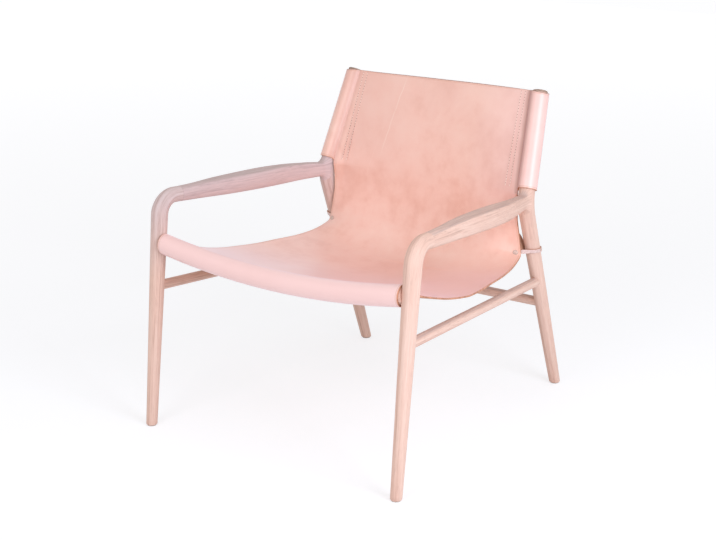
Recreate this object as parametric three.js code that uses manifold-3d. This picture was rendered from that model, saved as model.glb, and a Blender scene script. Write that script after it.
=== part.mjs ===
// Sling lounge chair: a pale oak frame that carries one folded sheet of saddle leather.
// Millimetres, +Z up, the chair faces -Y. Most pieces are worked out on the +X side and mirrored.
import * as THREE from 'three';
import { mergeVertices } from 'three/addons/utils/BufferGeometryUtils.js';
import Module from 'manifold-3d';

const wasm = await Module();
wasm.setup();

// Frame: places of the leg axes on the floor and at their corners
const frontFootX = 330;
const rearFootX = 277;
const frontFootY = -378;
const rearFootY = 378;
const armCornerHeight = 513.5;
const frontLegLean = 56.3;
const kinkHeight = 478.7;
const rearLegLean = 174.5;
const postHeight = 713.8;
const postRake = 94;
const postInset = 24.2;

// Frame: thicknesses of the turned and shaped wood
const frontFootRadius = 12.4;
const frontHeadRadius = 19;
const rearFootRadius = 12.6;
const kinkRadius = 18.2;
const postTopRadius = 17.4;
const headBendRadius = 42;
const kinkBendRadius = 82;
const stretcherRadius = 11;
const stretcherTenonRadius = 7;
const railRadius = 18;
const railTenonRadius = 9;
const dowelRadius = 5;
const dowelLength = 44;
const footChamfer = 1.6;
const rearTaperShare = 0.75;
const shoulderShare = 0.62;
const tenonPastAxisShare = 0.12;

// Frame: heights of what spans between the legs
const railEndHeight = 413.2;
const stretcherBelowRail = 96.2;
const stretcherBelowCorner = 74;
const rearStretcherBelowCorner = 132;
const railBow = 27.5;
const railForward = 0.7;
const railEndInset = 14;

// Arm: sizes at its widest and deepest, and where it starts behind the front leg's bend
const armStartRun = 54;
const armWidth = 41;
const armDepth = 43.6;
const armStartRadius = 17;
const armBow = 10;
const armRearAboveKink = 5.3;
const armSink = 4;

// Leather sheet
const leatherThickness = 3.6;
const hemEndInset = 17.5;
const hemSlack = 1.4;
const hemWebStart = 32;
const hemFlapEnd = 62;
const hemWebSlopeShare = 0.3;
const seatEdgeInset = 13;
const cornerInset = 10;
const waistInset = 23.5;
const cornerHeight = 356;
const cornerForward = 40;
const seatEdgeSag = 38.5;
const backEdgeBulge = 3;
const seatMiddleSag = 42;
const rearMiddleDrop = 23;
const rearMiddleBack = 1;
const middleBulge = 10;
const waistMiddleBack = 26;
const panelMiddleBack = 10;
const panelMiddleHollow = 11.6;
const panelForward = 6.2;
const sleeveWebStart = 24;
const sleeveWebEnd = 58;
const sleeveStart = 32;
const sleeveProud = 0.2;
const postShowing = 2.6;

// Corner straps, studs, screws and glides
const strapAboveCorner = 9;
const strapWidth = 9.5;
const strapEarRise = 38;
const strapScrewRise = 2;
const strapThickness = 2.8;
const studInset = 12;
const studBeforeCorner = 2;
const studHeadRadius = 6;
const studHeadHeight = 2.2;
const studShankRadius = 2;
const studCollarRadius = 3.2;
const studNutRadius = 5.5;
const studNutHeight = 2.4;
const strapScrewHeadRadius = 3.2;
const strapScrewHeadHeight = 2.2;
const strapScrewShankRadius = 1.6;
const strapScrewLength = 16;
const glideRadius = 10.5;
const glideHeight = 1.8;
const glidePinRadius = 1.5;
const glidePinLength = 9;

const clearance = 0.3;
const cutOverrun = 6;
const mergeTolerance = 0.0001;

const legSides = 16;
const turnedSides = 16;
const stepsInBend = 6;

// Lengths that follow from the ones above
const sideStretcherFrontHeight = railEndHeight - stretcherBelowRail;
const sideStretcherRearHeight = cornerHeight - stretcherBelowCorner;
const rearStretcherHeight = cornerHeight - rearStretcherBelowCorner;
const armRearHeight = kinkHeight + armRearAboveKink;
const hemHalfLength = frontFootX - hemEndInset;
const seatHalfWidth = frontFootX - seatEdgeInset;
const cornerHalfWidth = rearFootX - cornerInset;
const waistHalfWidth = rearFootX - waistInset;
const strapHeight = cornerHeight + strapAboveCorner;

const xAxis = new THREE.Vector3(1, 0, 0);
const yAxis = new THREE.Vector3(0, 1, 0);
const zAxis = new THREE.Vector3(0, 0, 1);

// Closed meshes and solids

function closedGeometry(points, faces) {
  let volume = 0;
  const cross = new THREE.Vector3();
  for (let f = 0; f < faces.length; f += 3) {
    const [a, b, c] = [points[faces[f]], points[faces[f + 1]], points[faces[f + 2]]];
    volume += a.dot(cross.crossVectors(b, c));
  }
  if (volume < 0) faces.reverse();
  const geometry = new THREE.BufferGeometry();
  const coordinates = points.flatMap((p) => [p.x, p.y, p.z]);
  geometry.setAttribute('position', new THREE.Float32BufferAttribute(coordinates, 3));
  geometry.setIndex(faces);
  return geometry;
}

// A skin over rings that have the same even number of points, closed by a strip at each end
function loft(rings) {
  const count = rings[0].length;
  const faces = [];
  for (let r = 0; r < rings.length - 1; r++) {
    for (let i = 0; i < count; i++) {
      const a = r * count + i;
      const b = r * count + ((i + 1) % count);
      faces.push(a, b, b + count, a, b + count, a + count);
    }
  }
  const last = (rings.length - 1) * count;
  for (let i = 0; i < count / 2 - 1; i++) {
    const [a, b, c, d] = [i, i + 1, count - 2 - i, count - 1 - i];
    faces.push(a, c, b, a, d, c);
    faces.push(last + a, last + b, last + c, last + a, last + c, last + d);
  }
  return closedGeometry(rings.flat(), faces);
}

function solidOf(geometry) {
  const bare = geometry.clone();
  bare.deleteAttribute('normal');
  bare.deleteAttribute('uv');
  const merged = mergeVertices(bare, mergeTolerance);
  const vertProperties = Float32Array.from(merged.attributes.position.array);
  const triVerts = Uint32Array.from(merged.index.array);
  return new wasm.Manifold(new wasm.Mesh({ numProp: 3, vertProperties, triVerts }));
}

function geometryOf(solid) {
  const mesh = solid.getMesh();
  const geometry = new THREE.BufferGeometry();
  geometry.setAttribute('position', new THREE.BufferAttribute(Float32Array.from(mesh.vertProperties), 3));
  geometry.setIndex(Array.from(mesh.triVerts));
  return geometry;
}

function largestPart(solid) {
  return solid.decompose().reduce((best, part) => (part.volume() > best.volume() ? part : best));
}

function mirrored(geometry) {
  const copy = geometry.clone().scale(-1, 1, 1);
  copy.setIndex(Array.from(copy.index.array).reverse());
  return copy;
}

// A turned solid: its profile's pairs are radius and distance along the axis
function turned(profile, start, direction) {
  const points = profile.map(([radius, along]) => new THREE.Vector2(radius, along));
  const geometry = new THREE.LatheGeometry(points, turnedSides);
  const turn = new THREE.Quaternion().setFromUnitVectors(yAxis, direction.clone().normalize());
  geometry.applyQuaternion(turn);
  geometry.translate(start.x, start.y, start.z);
  return solidOf(geometry);
}

function rod(radius, start, end) {
  const along = end.clone().sub(start);
  const length = along.length();
  return turned([[0, 0], [radius, 0], [radius, length], [0, length]], start, along);
}

function lerp(a, b, share) {
  return a + (b - a) * share;
}

// The value at a share of the way along a table of [share, value] rows
function fromTable(table, share) {
  for (let i = 1; i < table.length; i++) {
    if (share <= table[i][0]) {
      const [s0, v0] = table[i - 1];
      const [s1, v1] = table[i];
      return lerp(v0, v1, (share - s0) / (s1 - s0));
    }
  }
  return table[table.length - 1][1];
}

// Stations along a bent stick: two straight runs with an arc of the given radius between them
function bentStations(start, corner, end, radius, straightShares) {
  const into = corner.clone().sub(start).normalize();
  const out = end.clone().sub(corner).normalize();
  const angle = into.angleTo(out);
  const setback = radius * Math.tan(angle / 2);
  const arcStart = corner.clone().addScaledVector(into, -setback);
  const arcEnd = corner.clone().addScaledVector(out, setback);
  const bendAxis = new THREE.Vector3().crossVectors(into, out).normalize();
  const toCentre = new THREE.Vector3().crossVectors(bendAxis, into);
  const centre = arcStart.clone().addScaledVector(toCentre, radius);
  const stations = [];
  for (const share of straightShares) {
    stations.push({ at: start.clone().lerp(arcStart, share), along: into });
  }
  for (let step = 0; step <= stepsInBend; step++) {
    const turn = (angle * step) / stepsInBend;
    const spoke = arcStart.clone().sub(centre).applyAxisAngle(bendAxis, turn);
    stations.push({ at: centre.clone().add(spoke), along: into.clone().applyAxisAngle(bendAxis, turn) });
  }
  for (const share of straightShares.slice(1)) {
    stations.push({ at: arcEnd.clone().lerp(end, share), along: out });
  }
  stations.push({ at: end.clone(), along: out });
  return stations;
}

// A round ring about a station, with its first point towards +X
function roundRing(station, radius, sides) {
  const side = xAxis.clone().addScaledVector(station.along, -xAxis.dot(station.along)).normalize();
  const up = new THREE.Vector3().crossVectors(station.along, side);
  const ring = [];
  for (let i = 0; i < sides; i++) {
    const angle = (2 * Math.PI * (i + 0.5)) / sides;
    const point = station.at.clone();
    point.addScaledVector(side, radius * Math.cos(angle));
    point.addScaledVector(up, radius * Math.sin(angle));
    ring.push(point);
  }
  return ring;
}

// Leg axes on the +X side

const frontFoot = new THREE.Vector3(frontFootX, frontFootY, 0);
const armCorner = new THREE.Vector3(frontFootX, frontFootY + frontLegLean, armCornerHeight);
const rearFoot = new THREE.Vector3(rearFootX, rearFootY, 0);
const kink = new THREE.Vector3(rearFootX, rearFootY - rearLegLean, kinkHeight);
const postTop = new THREE.Vector3(rearFootX - postInset, kink.y + postRake, postHeight);
const postAlong = postTop.clone().sub(kink).normalize();
const rearLegAlong = kink.clone().sub(rearFoot).normalize();
const armRear = new THREE.Vector3(rearFootX, kink.y, armRearHeight);
const armAlong = armRear.clone().sub(armCorner).normalize();
const armStart = armCorner.clone().addScaledVector(armAlong, armStartRun);

function onLeg(foot, top, height) {
  return foot.clone().lerp(top, (height - foot.z) / (top.z - foot.z));
}

function frontLegRadiusAt(height) {
  return lerp(frontFootRadius, frontHeadRadius, Math.min(height / armCornerHeight, 1));
}

function rearLegRadiusAt(height) {
  return lerp(rearFootRadius, kinkRadius, Math.pow(Math.min(height / kinkHeight, 1), rearTaperShare));
}

// The front leg: tapered up to its head, which bends back into the line of the arm
function frontLegBody(grow) {
  const straightShares = [0, 0.8];
  const stations = bentStations(frontFoot, armCorner, armStart, headBendRadius, straightShares);
  const endBack = frontHeadRadius - armStartRadius;
  const rings = stations.map((station, index) => {
    const stepsFromEnd = stations.length - 1 - index;
    const narrowing = endBack * Math.max(1 - stepsFromEnd / stepsInBend, 0);
    return roundRing(station, frontLegRadiusAt(station.at.z) - narrowing + grow, legSides);
  });
  return solidOf(loft(rings));
}

// The rear leg: raked forward up to its kink, then back as the post that carries the sleeve
function rearLegBody(grow) {
  const straightShares = [0, 0.35, 0.7];
  const stations = bentStations(rearFoot, kink, postTop, kinkBendRadius, straightShares);
  const rings = stations.map((station) => {
    const rise = (station.at.z - kink.z) / (postTop.z - kink.z);
    const radius = rise > 0 ? lerp(kinkRadius, postTopRadius, rise) : rearLegRadiusAt(station.at.z);
    return roundRing(station, radius + grow, legSides);
  });
  return solidOf(loft(rings));
}

// A foot is cut level above its glide, with a small chamfer round it
function footCutter(foot, legAlong, radius) {
  const level = glideHeight + clearance;
  const below = new THREE.Vector3(foot.x, foot.y, -cutOverrun);
  const reach = radius + cutOverrun;
  const top = level + cutOverrun;
  const block = turned([[0, 0], [reach, 0], [reach, top], [0, top]], below, zAxis);
  const centre = foot.clone().addScaledVector(legAlong, level / legAlong.z);
  const chamferTop = footChamfer + cutOverrun;
  const ringProfile = [
    [radius - footChamfer, 0],
    [radius + cutOverrun, 0],
    [radius + cutOverrun, chamferTop],
    [radius - footChamfer, 0],
  ];
  const ringStart = centre.clone().addScaledVector(zAxis, -clearance);
  return block.add(turned(ringProfile, ringStart, zAxis));
}

// Stretchers: turned sticks whose ends go into stepped round holes in the legs

function stretcherEnd(legRadius) {
  return { shoulder: legRadius * shoulderShare, tenonEnd: -legRadius * tenonPastAxisShare };
}

const sideStretcherFront = onLeg(frontFoot, armCorner, sideStretcherFrontHeight);
const sideStretcherRear = onLeg(rearFoot, kink, sideStretcherRearHeight);
const rearStretcherRight = onLeg(rearFoot, kink, rearStretcherHeight);
const rearStretcherLeft = rearStretcherRight.clone().multiply(new THREE.Vector3(-1, 1, 1));
const frontSocketRadius = frontLegRadiusAt(sideStretcherFrontHeight);
const rearSocketRadius = rearLegRadiusAt(sideStretcherRearHeight);
const crossSocketRadius = rearLegRadiusAt(rearStretcherHeight);

function stretcher(from, fromRadius, to, toRadius) {
  const along = to.clone().sub(from);
  const length = along.length();
  const near = stretcherEnd(fromRadius);
  const far = stretcherEnd(toRadius);
  const profile = [
    [0, near.tenonEnd],
    [stretcherTenonRadius, near.tenonEnd],
    [stretcherTenonRadius, near.shoulder],
    [stretcherRadius, near.shoulder],
    [stretcherRadius, length - far.shoulder],
    [stretcherTenonRadius, length - far.shoulder],
    [stretcherTenonRadius, length - far.tenonEnd],
    [0, length - far.tenonEnd],
  ];
  return turned(profile, from, along);
}

// The stepped hole that a stretcher's end fills, from inside the leg out past its surface
function stretcherHole(legPoint, towards, legRadius) {
  const end = stretcherEnd(legRadius);
  const bottom = end.tenonEnd - clearance;
  const step = end.shoulder - clearance;
  const mouth = legRadius + stretcherRadius;
  const profile = [
    [0, bottom],
    [stretcherTenonRadius + clearance, bottom],
    [stretcherTenonRadius + clearance, step],
    [stretcherRadius + clearance, step],
    [stretcherRadius + clearance, mouth],
    [0, mouth],
  ];
  return turned(profile, legPoint, towards.clone().sub(legPoint));
}

// Front rail: a shallow arch upside down, thicker than its tenons

const railLegPoint = onLeg(frontFoot, armCorner, railEndHeight);
const railY = railLegPoint.y - railForward;
const railHalfSpan = frontFootX - railEndInset;

function railHeightAt(x) {
  return railEndHeight - railBow * (1 - (x / hemHalfLength) ** 2);
}

function railSlopeAt(x) {
  return (2 * railBow * x) / hemHalfLength ** 2;
}

function railStation(x) {
  const along = new THREE.Vector3(1, 0, railSlopeAt(x)).normalize();
  return { at: new THREE.Vector3(x, railY, railHeightAt(x)), along };
}

function railRing(x) {
  const station = railStation(x);
  const up = new THREE.Vector3().crossVectors(station.along, yAxis);
  const ring = [];
  for (let i = 0; i < turnedSides; i++) {
    const angle = (2 * Math.PI * i) / turnedSides;
    const point = station.at.clone().addScaledVector(yAxis, railRadius * Math.cos(angle));
    ring.push(point.addScaledVector(up, railRadius * Math.sin(angle)));
  }
  return ring;
}

function railTenonLine(grow) {
  const end = railStation(railHalfSpan);
  const start = end.at.clone().addScaledVector(end.along, -railEndInset);
  const tip = end.at.clone().addScaledVector(end.along, railEndInset + grow);
  return { start, tip };
}

function railBody(legClearances) {
  const steps = 16;
  const rings = [];
  for (let step = 0; step <= steps; step++) {
    rings.push(railRing(lerp(-railHalfSpan, railHalfSpan, step / steps)));
  }
  const { start, tip } = railTenonLine(0);
  const tenon = rod(railTenonRadius, start, tip);
  const bar = solidOf(loft(rings));
  const scribed = legClearances.reduce((body, leg) => body.subtract(leg), bar);
  return largestPart(scribed).add(tenon).add(tenon.mirror([1, 0, 0]));
}

function railHole() {
  const { start, tip } = railTenonLine(clearance);
  return rod(railTenonRadius + clearance, start, tip);
}

// Arms: flat on top with a crisp outer edge, deepest in the middle, round at the front joint

const armWidthShares = [[0, 0.83], [0.1, 0.79], [0.19, 0.76], [0.34, 0.93], [0.52, 1], [0.64, 0.88],
  [0.78, 0.68], [0.9, 0.6], [1, 0.64]];
const armDepthShares = [[0, 0.78], [0.1, 0.83], [0.29, 0.92], [0.53, 0.99], [0.64, 1], [0.75, 0.97],
  [0.85, 0.88], [1, 0.8]];
const armBowShares = [[0, 0], [0.15, 0.2], [0.31, 0.25], [0.49, 0.6], [0.63, 0.9], [0.77, 1], [0.9, 0.45],
  [1, 0]];
const armFlatShares = [[0, 0], [0.08, 0.3], [0.25, 1], [0.85, 1], [1, 0.6]];
const armSectionShares = [[1, 0], [1.02, 0.45], [0.97, 0.86], [0.86, 1], [0.3, 1], [-0.35, 0.99],
  [-0.8, 0.93], [-0.97, 0.62], [-1, 0.1], [-0.9, -0.42], [-0.68, -0.8], [-0.38, -0.97], [0.05, -1],
  [0.48, -0.95], [0.8, -0.75], [0.96, -0.4]];

function armRing(share) {
  const centre = armStart.clone().lerp(armRear, share);
  centre.x += armBow * fromTable(armBowShares, share);
  const halfWidth = (armWidth / 2) * fromTable(armWidthShares, share);
  const halfDepth = (armDepth / 2) * fromTable(armDepthShares, share);
  const flat = fromTable(armFlatShares, share);
  const side = xAxis.clone().addScaledVector(armAlong, -xAxis.dot(armAlong)).normalize();
  const up = new THREE.Vector3().crossVectors(side, armAlong).normalize();
  return armSectionShares.map(([across, high], i) => {
    const angle = (2 * Math.PI * i) / armSectionShares.length;
    const point = centre.clone();
    point.addScaledVector(side, halfWidth * lerp(Math.cos(angle), across, flat));
    return point.addScaledVector(up, halfDepth * lerp(Math.sin(angle), high, flat));
  });
}

function armBody(postClearance) {
  const shares = [0, 0.05, 0.1, 0.19, 0.28, 0.4, 0.52, 0.64, 0.75, 0.85, 0.93, 1];
  const rings = shares.map(armRing);
  const shift = armAlong.clone().multiplyScalar(clearance);
  rings[0] = rings[0].map((point) => point.add(shift));
  const sink = armAlong.clone().multiplyScalar(-armSink);
  rings[rings.length - 1] = rings[rings.length - 1].map((point) => point.add(sink));
  return largestPart(solidOf(loft(rings)).subtract(postClearance));
}

function frontDowelLine(grow) {
  const half = dowelLength / 2 + grow;
  return {
    start: armStart.clone().addScaledVector(armAlong, -half),
    end: armStart.clone().addScaledVector(armAlong, half),
  };
}

function rearDowelLine(grow) {
  const face = armRear.clone().addScaledVector(armAlong, -kinkRadius);
  return {
    start: face.clone().addScaledVector(armAlong, -dowelLength / 2 - grow),
    end: face.clone().addScaledVector(armAlong, kinkRadius + grow),
  };
}

function dowel(line, radius) {
  return rod(radius, line.start, line.end);
}

// The leather: one sheet that wraps the rail, makes the seat and back, and wraps both posts

const seatSagShares = [[0.12, 0.3], [0.285, 0.8], [0.42, 0.98], [0.55, 0.99], [0.68, 0.88], [0.8, 0.77],
  [0.9, 0.55], [0.96, 0.29]];
const backBulgeShares = [[0.07, 0.6], [0.2, 1], [0.42, 1], [0.65, 0.7], [0.85, 0.4]];
const middleSagShares = [[0.13, 0.25], [0.3, 0.62], [0.5, 0.93], [0.68, 1], [0.84, 0.72], [0.93, 0.42]];
const middleRiseShares = [[0.07, 0.5], [0.2, 0.95], [0.42, 0.9], [0.65, 0.5], [0.85, 0.15]];
const seatWidthShares = [[0, 0], [0.07, 0.1], [0.22, 0.8], [0.38, 1], [1, 1]];
const panelBendShare = 0.42;
const seatTaperStartShare = 0.38;
const waistReachShare = 0.5;
const panelFlatShare = 0.5;
const panelFlatStartShare = 0.72;
const cornerCurlShare = 0.6;
const curlStartShare = 0.7;
const curlFullShare = 0.77;
const curlFadeShare = 0.8;
const curlEndShare = 0.93;
const sleeveTurnShare = 0.65;
const seatRowShares = [0.07, 0.17, 0.29, 0.41, 0.53, 0.63, 0.7, 0.745, 0.78, 0.82, 0.88, 0.94, 1];
const panelRowShares = [0.18, 0.4, 0.68, 1];
const cornerRowShare = 0.765;

const webDown = new THREE.Vector3(0, 1, -hemWebSlopeShare).normalize();
const webNormal = new THREE.Vector3().crossVectors(xAxis, webDown).normalize();
const railEnd = new THREE.Vector3(0, railY, railEndHeight);
const railMiddle = new THREE.Vector3(0, railY, railEndHeight - railBow);
const cornerY = onLeg(rearFoot, kink, cornerHeight).y - cornerForward;
const cornerPoint = new THREE.Vector3(0, cornerY, cornerHeight);
const postForward = new THREE.Vector3().crossVectors(postAlong, xAxis).normalize().negate();
const postLength = postTop.distanceTo(kink);
const panelEnd = postLength - postShowing;

function besidePost(along, forward) {
  const point = kink.clone().addScaledVector(postAlong, along).addScaledVector(postForward, forward);
  return point.setX(0);
}

const panelStart = besidePost(sleeveStart, panelForward);
const panelTop = besidePost(panelEnd, panelForward);
const panelMiddleStart = panelStart.clone().addScaledVector(yAxis, waistMiddleBack);

// A line from one point to another that leaves it sideways by shares of a depth
function bowedLine(from, to, shares, way, depth) {
  return shares.map(([share, bow]) => from.clone().lerp(to, share).addScaledVector(way, bow * depth));
}

// The side edge of the sheet from the hem's seam along the seat, round the corner and up to the sleeve
function lowerEdgeLine() {
  const down = zAxis.clone().negate();
  return new THREE.CatmullRomCurve3([
    railEnd.clone().addScaledVector(webDown, hemFlapEnd),
    ...bowedLine(railEnd, cornerPoint, seatSagShares, down, seatEdgeSag).slice(1),
    cornerPoint,
    ...bowedLine(cornerPoint, panelStart, backBulgeShares, yAxis, backEdgeBulge),
    panelStart,
  ], false, 'centripetal');
}

// The same stretch down the middle of the sheet, which hangs lower and further back
function lowerMiddleLine() {
  const down = zAxis.clone().negate();
  const rear = cornerPoint.clone();
  rear.z -= rearMiddleDrop;
  rear.y += rearMiddleBack;
  return new THREE.CatmullRomCurve3([
    railMiddle.clone().addScaledVector(webDown, hemFlapEnd),
    ...bowedLine(railMiddle, rear, middleSagShares, down, seatMiddleSag).slice(1),
    rear,
    ...bowedLine(rear, panelMiddleStart, middleRiseShares, yAxis, middleBulge),
    panelMiddleStart,
  ], false, 'centripetal');
}

function upperMiddleLine() {
  const top = panelTop.clone().addScaledVector(yAxis, panelMiddleBack);
  const bend = panelMiddleStart.clone().lerp(top, panelBendShare);
  bend.y -= panelMiddleHollow;
  return new THREE.QuadraticBezierCurve3(panelMiddleStart, bend, top);
}

const edgeLine = lowerEdgeLine();
const middleLine = lowerMiddleLine();
const panelMiddleLine = upperMiddleLine();

function lowerHalfWidth(share) {
  if (share < cornerRowShare) {
    const onSeat = share / cornerRowShare;
    const tapered = Math.max(onSeat - seatTaperStartShare, 0) / (1 - seatTaperStartShare);
    const straight = lerp(seatHalfWidth, cornerHalfWidth, tapered);
    return lerp(hemHalfLength, straight, fromTable(seatWidthShares, onSeat));
  }
  const rise = (share - cornerRowShare) / (1 - cornerRowShare);
  return lerp(cornerHalfWidth, waistHalfWidth, Math.min(rise / waistReachShare, 1));
}

// A point of the sheet's middle surface: across runs from -1 to 1 between the side edges, and the row
// is a plain bow, or flatter beside its edges by a share
function acrossRow(edge, middle, half, across, flatterShare) {
  const hollow = (1 - across * across) * (1 - flatterShare * across * across);
  return edge.clone().lerp(middle, hollow).setX(half * across);
}

// Rows are a plain bow on the seat, curl up beside the corners, and lie flatter towards the sleeves
function flatterShareAt(share) {
  const { smoothstep } = THREE.MathUtils;
  const curling = smoothstep(share, curlStartShare, curlFullShare);
  const curl = curling * (1 - smoothstep(share, curlFadeShare, curlEndShare));
  return panelFlatShare * smoothstep(share, panelFlatStartShare, 1) - cornerCurlShare * curl;
}

function lowerPoint(share, across) {
  const edge = edgeLine.getPointAt(share);
  const middle = middleLine.getPointAt(share);
  return acrossRow(edge, middle, lowerHalfWidth(share), across, flatterShareAt(share));
}

function panelPoint(share, across) {
  const along = lerp(sleeveStart, panelEnd, share);
  const edge = besidePost(along, panelForward);
  const half = kink.x + postAlong.x * along - sleeveWebStart;
  return acrossRow(edge, panelMiddleLine.getPoint(share), half, across, panelFlatShare);
}

// The hem's path round the rail, from the flap's end below the seat to the seam behind the rail
function hemPath() {
  const steps = 10;
  const layerOffset = (leatherThickness + clearance) / 2;
  const touch = Math.acos((railRadius + leatherThickness) / hemWebStart);
  const sweep = 2 * (Math.PI - touch);
  const deep = (railRadius + clearance) / Math.cos(sweep / steps / 2) + leatherThickness / 2;
  const high = deep + hemSlack;
  const downSlope = Math.atan(hemWebSlopeShare);
  const layer = (along, offset) => railEnd.clone()
    .addScaledVector(webDown, along)
    .addScaledVector(webNormal, offset);
  const path = [layer(hemFlapEnd, -layerOffset), layer(hemWebStart, -layerOffset)];
  for (let step = 0; step <= steps; step++) {
    const angle = -downSlope - touch - (sweep * step) / steps;
    path.push(new THREE.Vector3(0, railY + deep * Math.cos(angle), railEndHeight + high * Math.sin(angle)));
  }
  path.push(layer(hemWebStart, layerOffset));
  return path;
}

const sheetColumns = 10;
const sleeveSteps = 14;

function sheetGrid() {
  const acrossSteps = [];
  for (let column = 0; column <= sheetColumns; column++) acrossSteps.push((2 * column) / sheetColumns - 1);
  const bowed = (at, across) => {
    const middle = at.clone().addScaledVector(zAxis, -railBow);
    return acrossRow(at, middle, hemHalfLength, across, 0);
  };
  return [
    ...hemPath().map((at) => acrossSteps.map((across) => bowed(at, across))),
    ...seatRowShares.map((share) => acrossSteps.map((across) => lowerPoint(share, across))),
    ...panelRowShares.map((share) => acrossSteps.map((across) => panelPoint(share, across))),
  ];
}

function gridNormal(grid, row, column) {
  const rowBack = grid[Math.max(row - 1, 0)][column];
  const rowOn = grid[Math.min(row + 1, grid.length - 1)][column];
  const columnBack = grid[row][Math.max(column - 1, 0)];
  const columnOn = grid[row][Math.min(column + 1, grid[row].length - 1)];
  const along = rowOn.clone().sub(rowBack);
  const across = columnOn.clone().sub(columnBack);
  return across.cross(along).normalize();
}

function sheetBody() {
  const grid = sheetGrid();
  const rings = grid.map((points, row) => {
    const face = points.map((point, column) =>
      point.clone().addScaledVector(gridNormal(grid, row, column), leatherThickness / 2));
    const back = points.map((point, column) =>
      point.clone().addScaledVector(gridNormal(grid, row, column), -leatherThickness / 2));
    return [...face, ...back.reverse()];
  });
  return solidOf(loft(rings));
}

// A sleeve: the sheet's edge carried round the post and back to a sewn double layer
function sleeveBody() {
  const outer = kinkRadius + clearance + leatherThickness;
  const halfWeb = leatherThickness + sleeveProud;
  const offset = panelForward - leatherThickness / 2;
  const outline = new THREE.Shape();
  const tangentAngle = (x, y, sign) => Math.atan2(y, x) + sign * Math.acos(outer / Math.hypot(x, y));
  const frontTouch = tangentAngle(sleeveWebStart, offset + halfWeb, 1);
  const rearTouch = tangentAngle(sleeveWebStart, offset - halfWeb, -1);
  outline.moveTo(sleeveWebEnd, offset - halfWeb);
  outline.lineTo(sleeveWebEnd, offset + halfWeb);
  outline.lineTo(sleeveWebStart, offset + halfWeb);
  outline.absarc(0, 0, outer, frontTouch, rearTouch + 2 * Math.PI, false);
  outline.lineTo(sleeveWebStart, offset - halfWeb);
  outline.closePath();
  const settings = { depth: panelEnd - sleeveStart, bevelEnabled: false, curveSegments: sleeveSteps };
  const sleeve = new THREE.ExtrudeGeometry(outline, settings);
  const inward = xAxis.clone().negate().addScaledVector(postAlong, xAxis.dot(postAlong)).normalize();
  const sheetBehind = lerp(waistMiddleBack, panelMiddleBack, sleeveTurnShare);
  inward.applyAxisAngle(postAlong, -Math.atan(sheetBehind / waistHalfWidth));
  const forward = new THREE.Vector3().crossVectors(postAlong, inward);
  const place = new THREE.Matrix4().makeBasis(inward, forward, postAlong);
  place.setPosition(kink.clone().addScaledVector(postAlong, sleeveStart));
  return solidOf(sleeve.applyMatrix4(place));
}

const earReachShare = 0.03;

// Place and face of the sheet at the corner stud, on its middle surface, and the way up behind the sheet
function studPlace() {
  const share = cornerRowShare - studBeforeCorner / edgeLine.getLength();
  const across = 1 - studInset / lowerHalfWidth(share);
  const nudgeShare = 0.006;
  const at = lowerPoint(share, across);
  const along = lowerPoint(share + nudgeShare, across).sub(at);
  const sideways = at.clone().sub(lowerPoint(share, across - nudgeShare));
  const riseWay = lowerPoint(share + earReachShare, across).sub(at).normalize();
  return { at, face: sideways.cross(along).normalize(), riseWay };
}

const padShares = [-0.6, 0, 0.6];
const earShares = [0.1, 0.6, 0.95];
const loopSteps = 16;
const loopInside = (rearLegRadiusAt(strapHeight + strapWidth) + clearance) / Math.cos(Math.PI / loopSteps);
const loopRadius = loopInside + strapThickness / 2;

// The corner strap: a band from behind the stud, level round the leaning rear leg and back under itself,
// where it widens upwards behind the sheet
function strapStations(stud) {
  const centre = onLeg(rearFoot, kink, strapHeight);
  const firstDepth = leatherThickness / 2 + clearance + strapThickness / 2;
  const secondDepth = firstDepth + strapThickness + clearance;
  const toLeg = centre.clone().sub(stud.at);
  const endWay = toLeg.addScaledVector(stud.face, -toLeg.dot(stud.face)).normalize();
  const padAt = (depth, share) => stud.at.clone()
    .addScaledVector(stud.face, -depth)
    .addScaledVector(endWay, share * strapWidth);
  const tangentAngle = (from, sign) => {
    const arm = from.clone().sub(centre);
    const [x, y] = [arm.dot(xAxis), arm.dot(yAxis) * rearLegAlong.z];
    return Math.atan2(y, x) + sign * Math.acos(loopRadius / Math.hypot(x, y));
  };
  const startAngle = tangentAngle(padAt(firstDepth, padShares[2]), 1);
  const endAngle = tangentAngle(padAt(secondDepth, padShares[2]), -1) + 2 * Math.PI;
  const downLeg = rearLegAlong.clone().negate();
  const loop = [];
  for (let step = 0; step <= loopSteps; step++) {
    const angle = lerp(startAngle, endAngle, step / loopSteps);
    const face = new THREE.Vector3(Math.cos(angle), Math.sin(angle), 0);
    const outward = new THREE.Vector3(face.x, face.y / rearLegAlong.z, 0);
    loop.push({ at: centre.clone().addScaledVector(outward, loopRadius), face, side: downLeg });
  }
  const first = padShares.map((share) => ({ at: padAt(firstDepth, share), face: stud.face }));
  const backFace = stud.face.clone().negate();
  const second = padShares.map((share, index) => {
    const rise = strapEarRise * earShares[index];
    return { at: padAt(secondDepth, share), face: backFace, rise };
  });
  return [...first, ...loop, ...second.reverse()];
}

function strapSolid(stud) {
  const stations = strapStations(stud);
  const rings = stations.map((station, index) => {
    const before = stations[Math.max(index - 1, 0)].at;
    const after = stations[Math.min(index + 1, stations.length - 1)].at;
    const along = after.clone().sub(before).normalize();
    const face = station.face.clone().addScaledVector(along, -station.face.dot(along)).normalize();
    const side = station.side ?? new THREE.Vector3().crossVectors(along, face);
    const corner = (wide, thick, rise) => station.at.clone()
      .addScaledVector(side, (wide * strapWidth) / 2)
      .addScaledVector(face, (thick * strapThickness) / 2)
      .addScaledVector(stud.riseWay, rise);
    const rise = station.rise ?? 0;
    return [corner(1, 1, 0), corner(-1, 1, rise), corner(-1, -1, rise), corner(1, -1, 0)];
  });
  return solidOf(loft(rings));
}

// Studs, screws and glides

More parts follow.
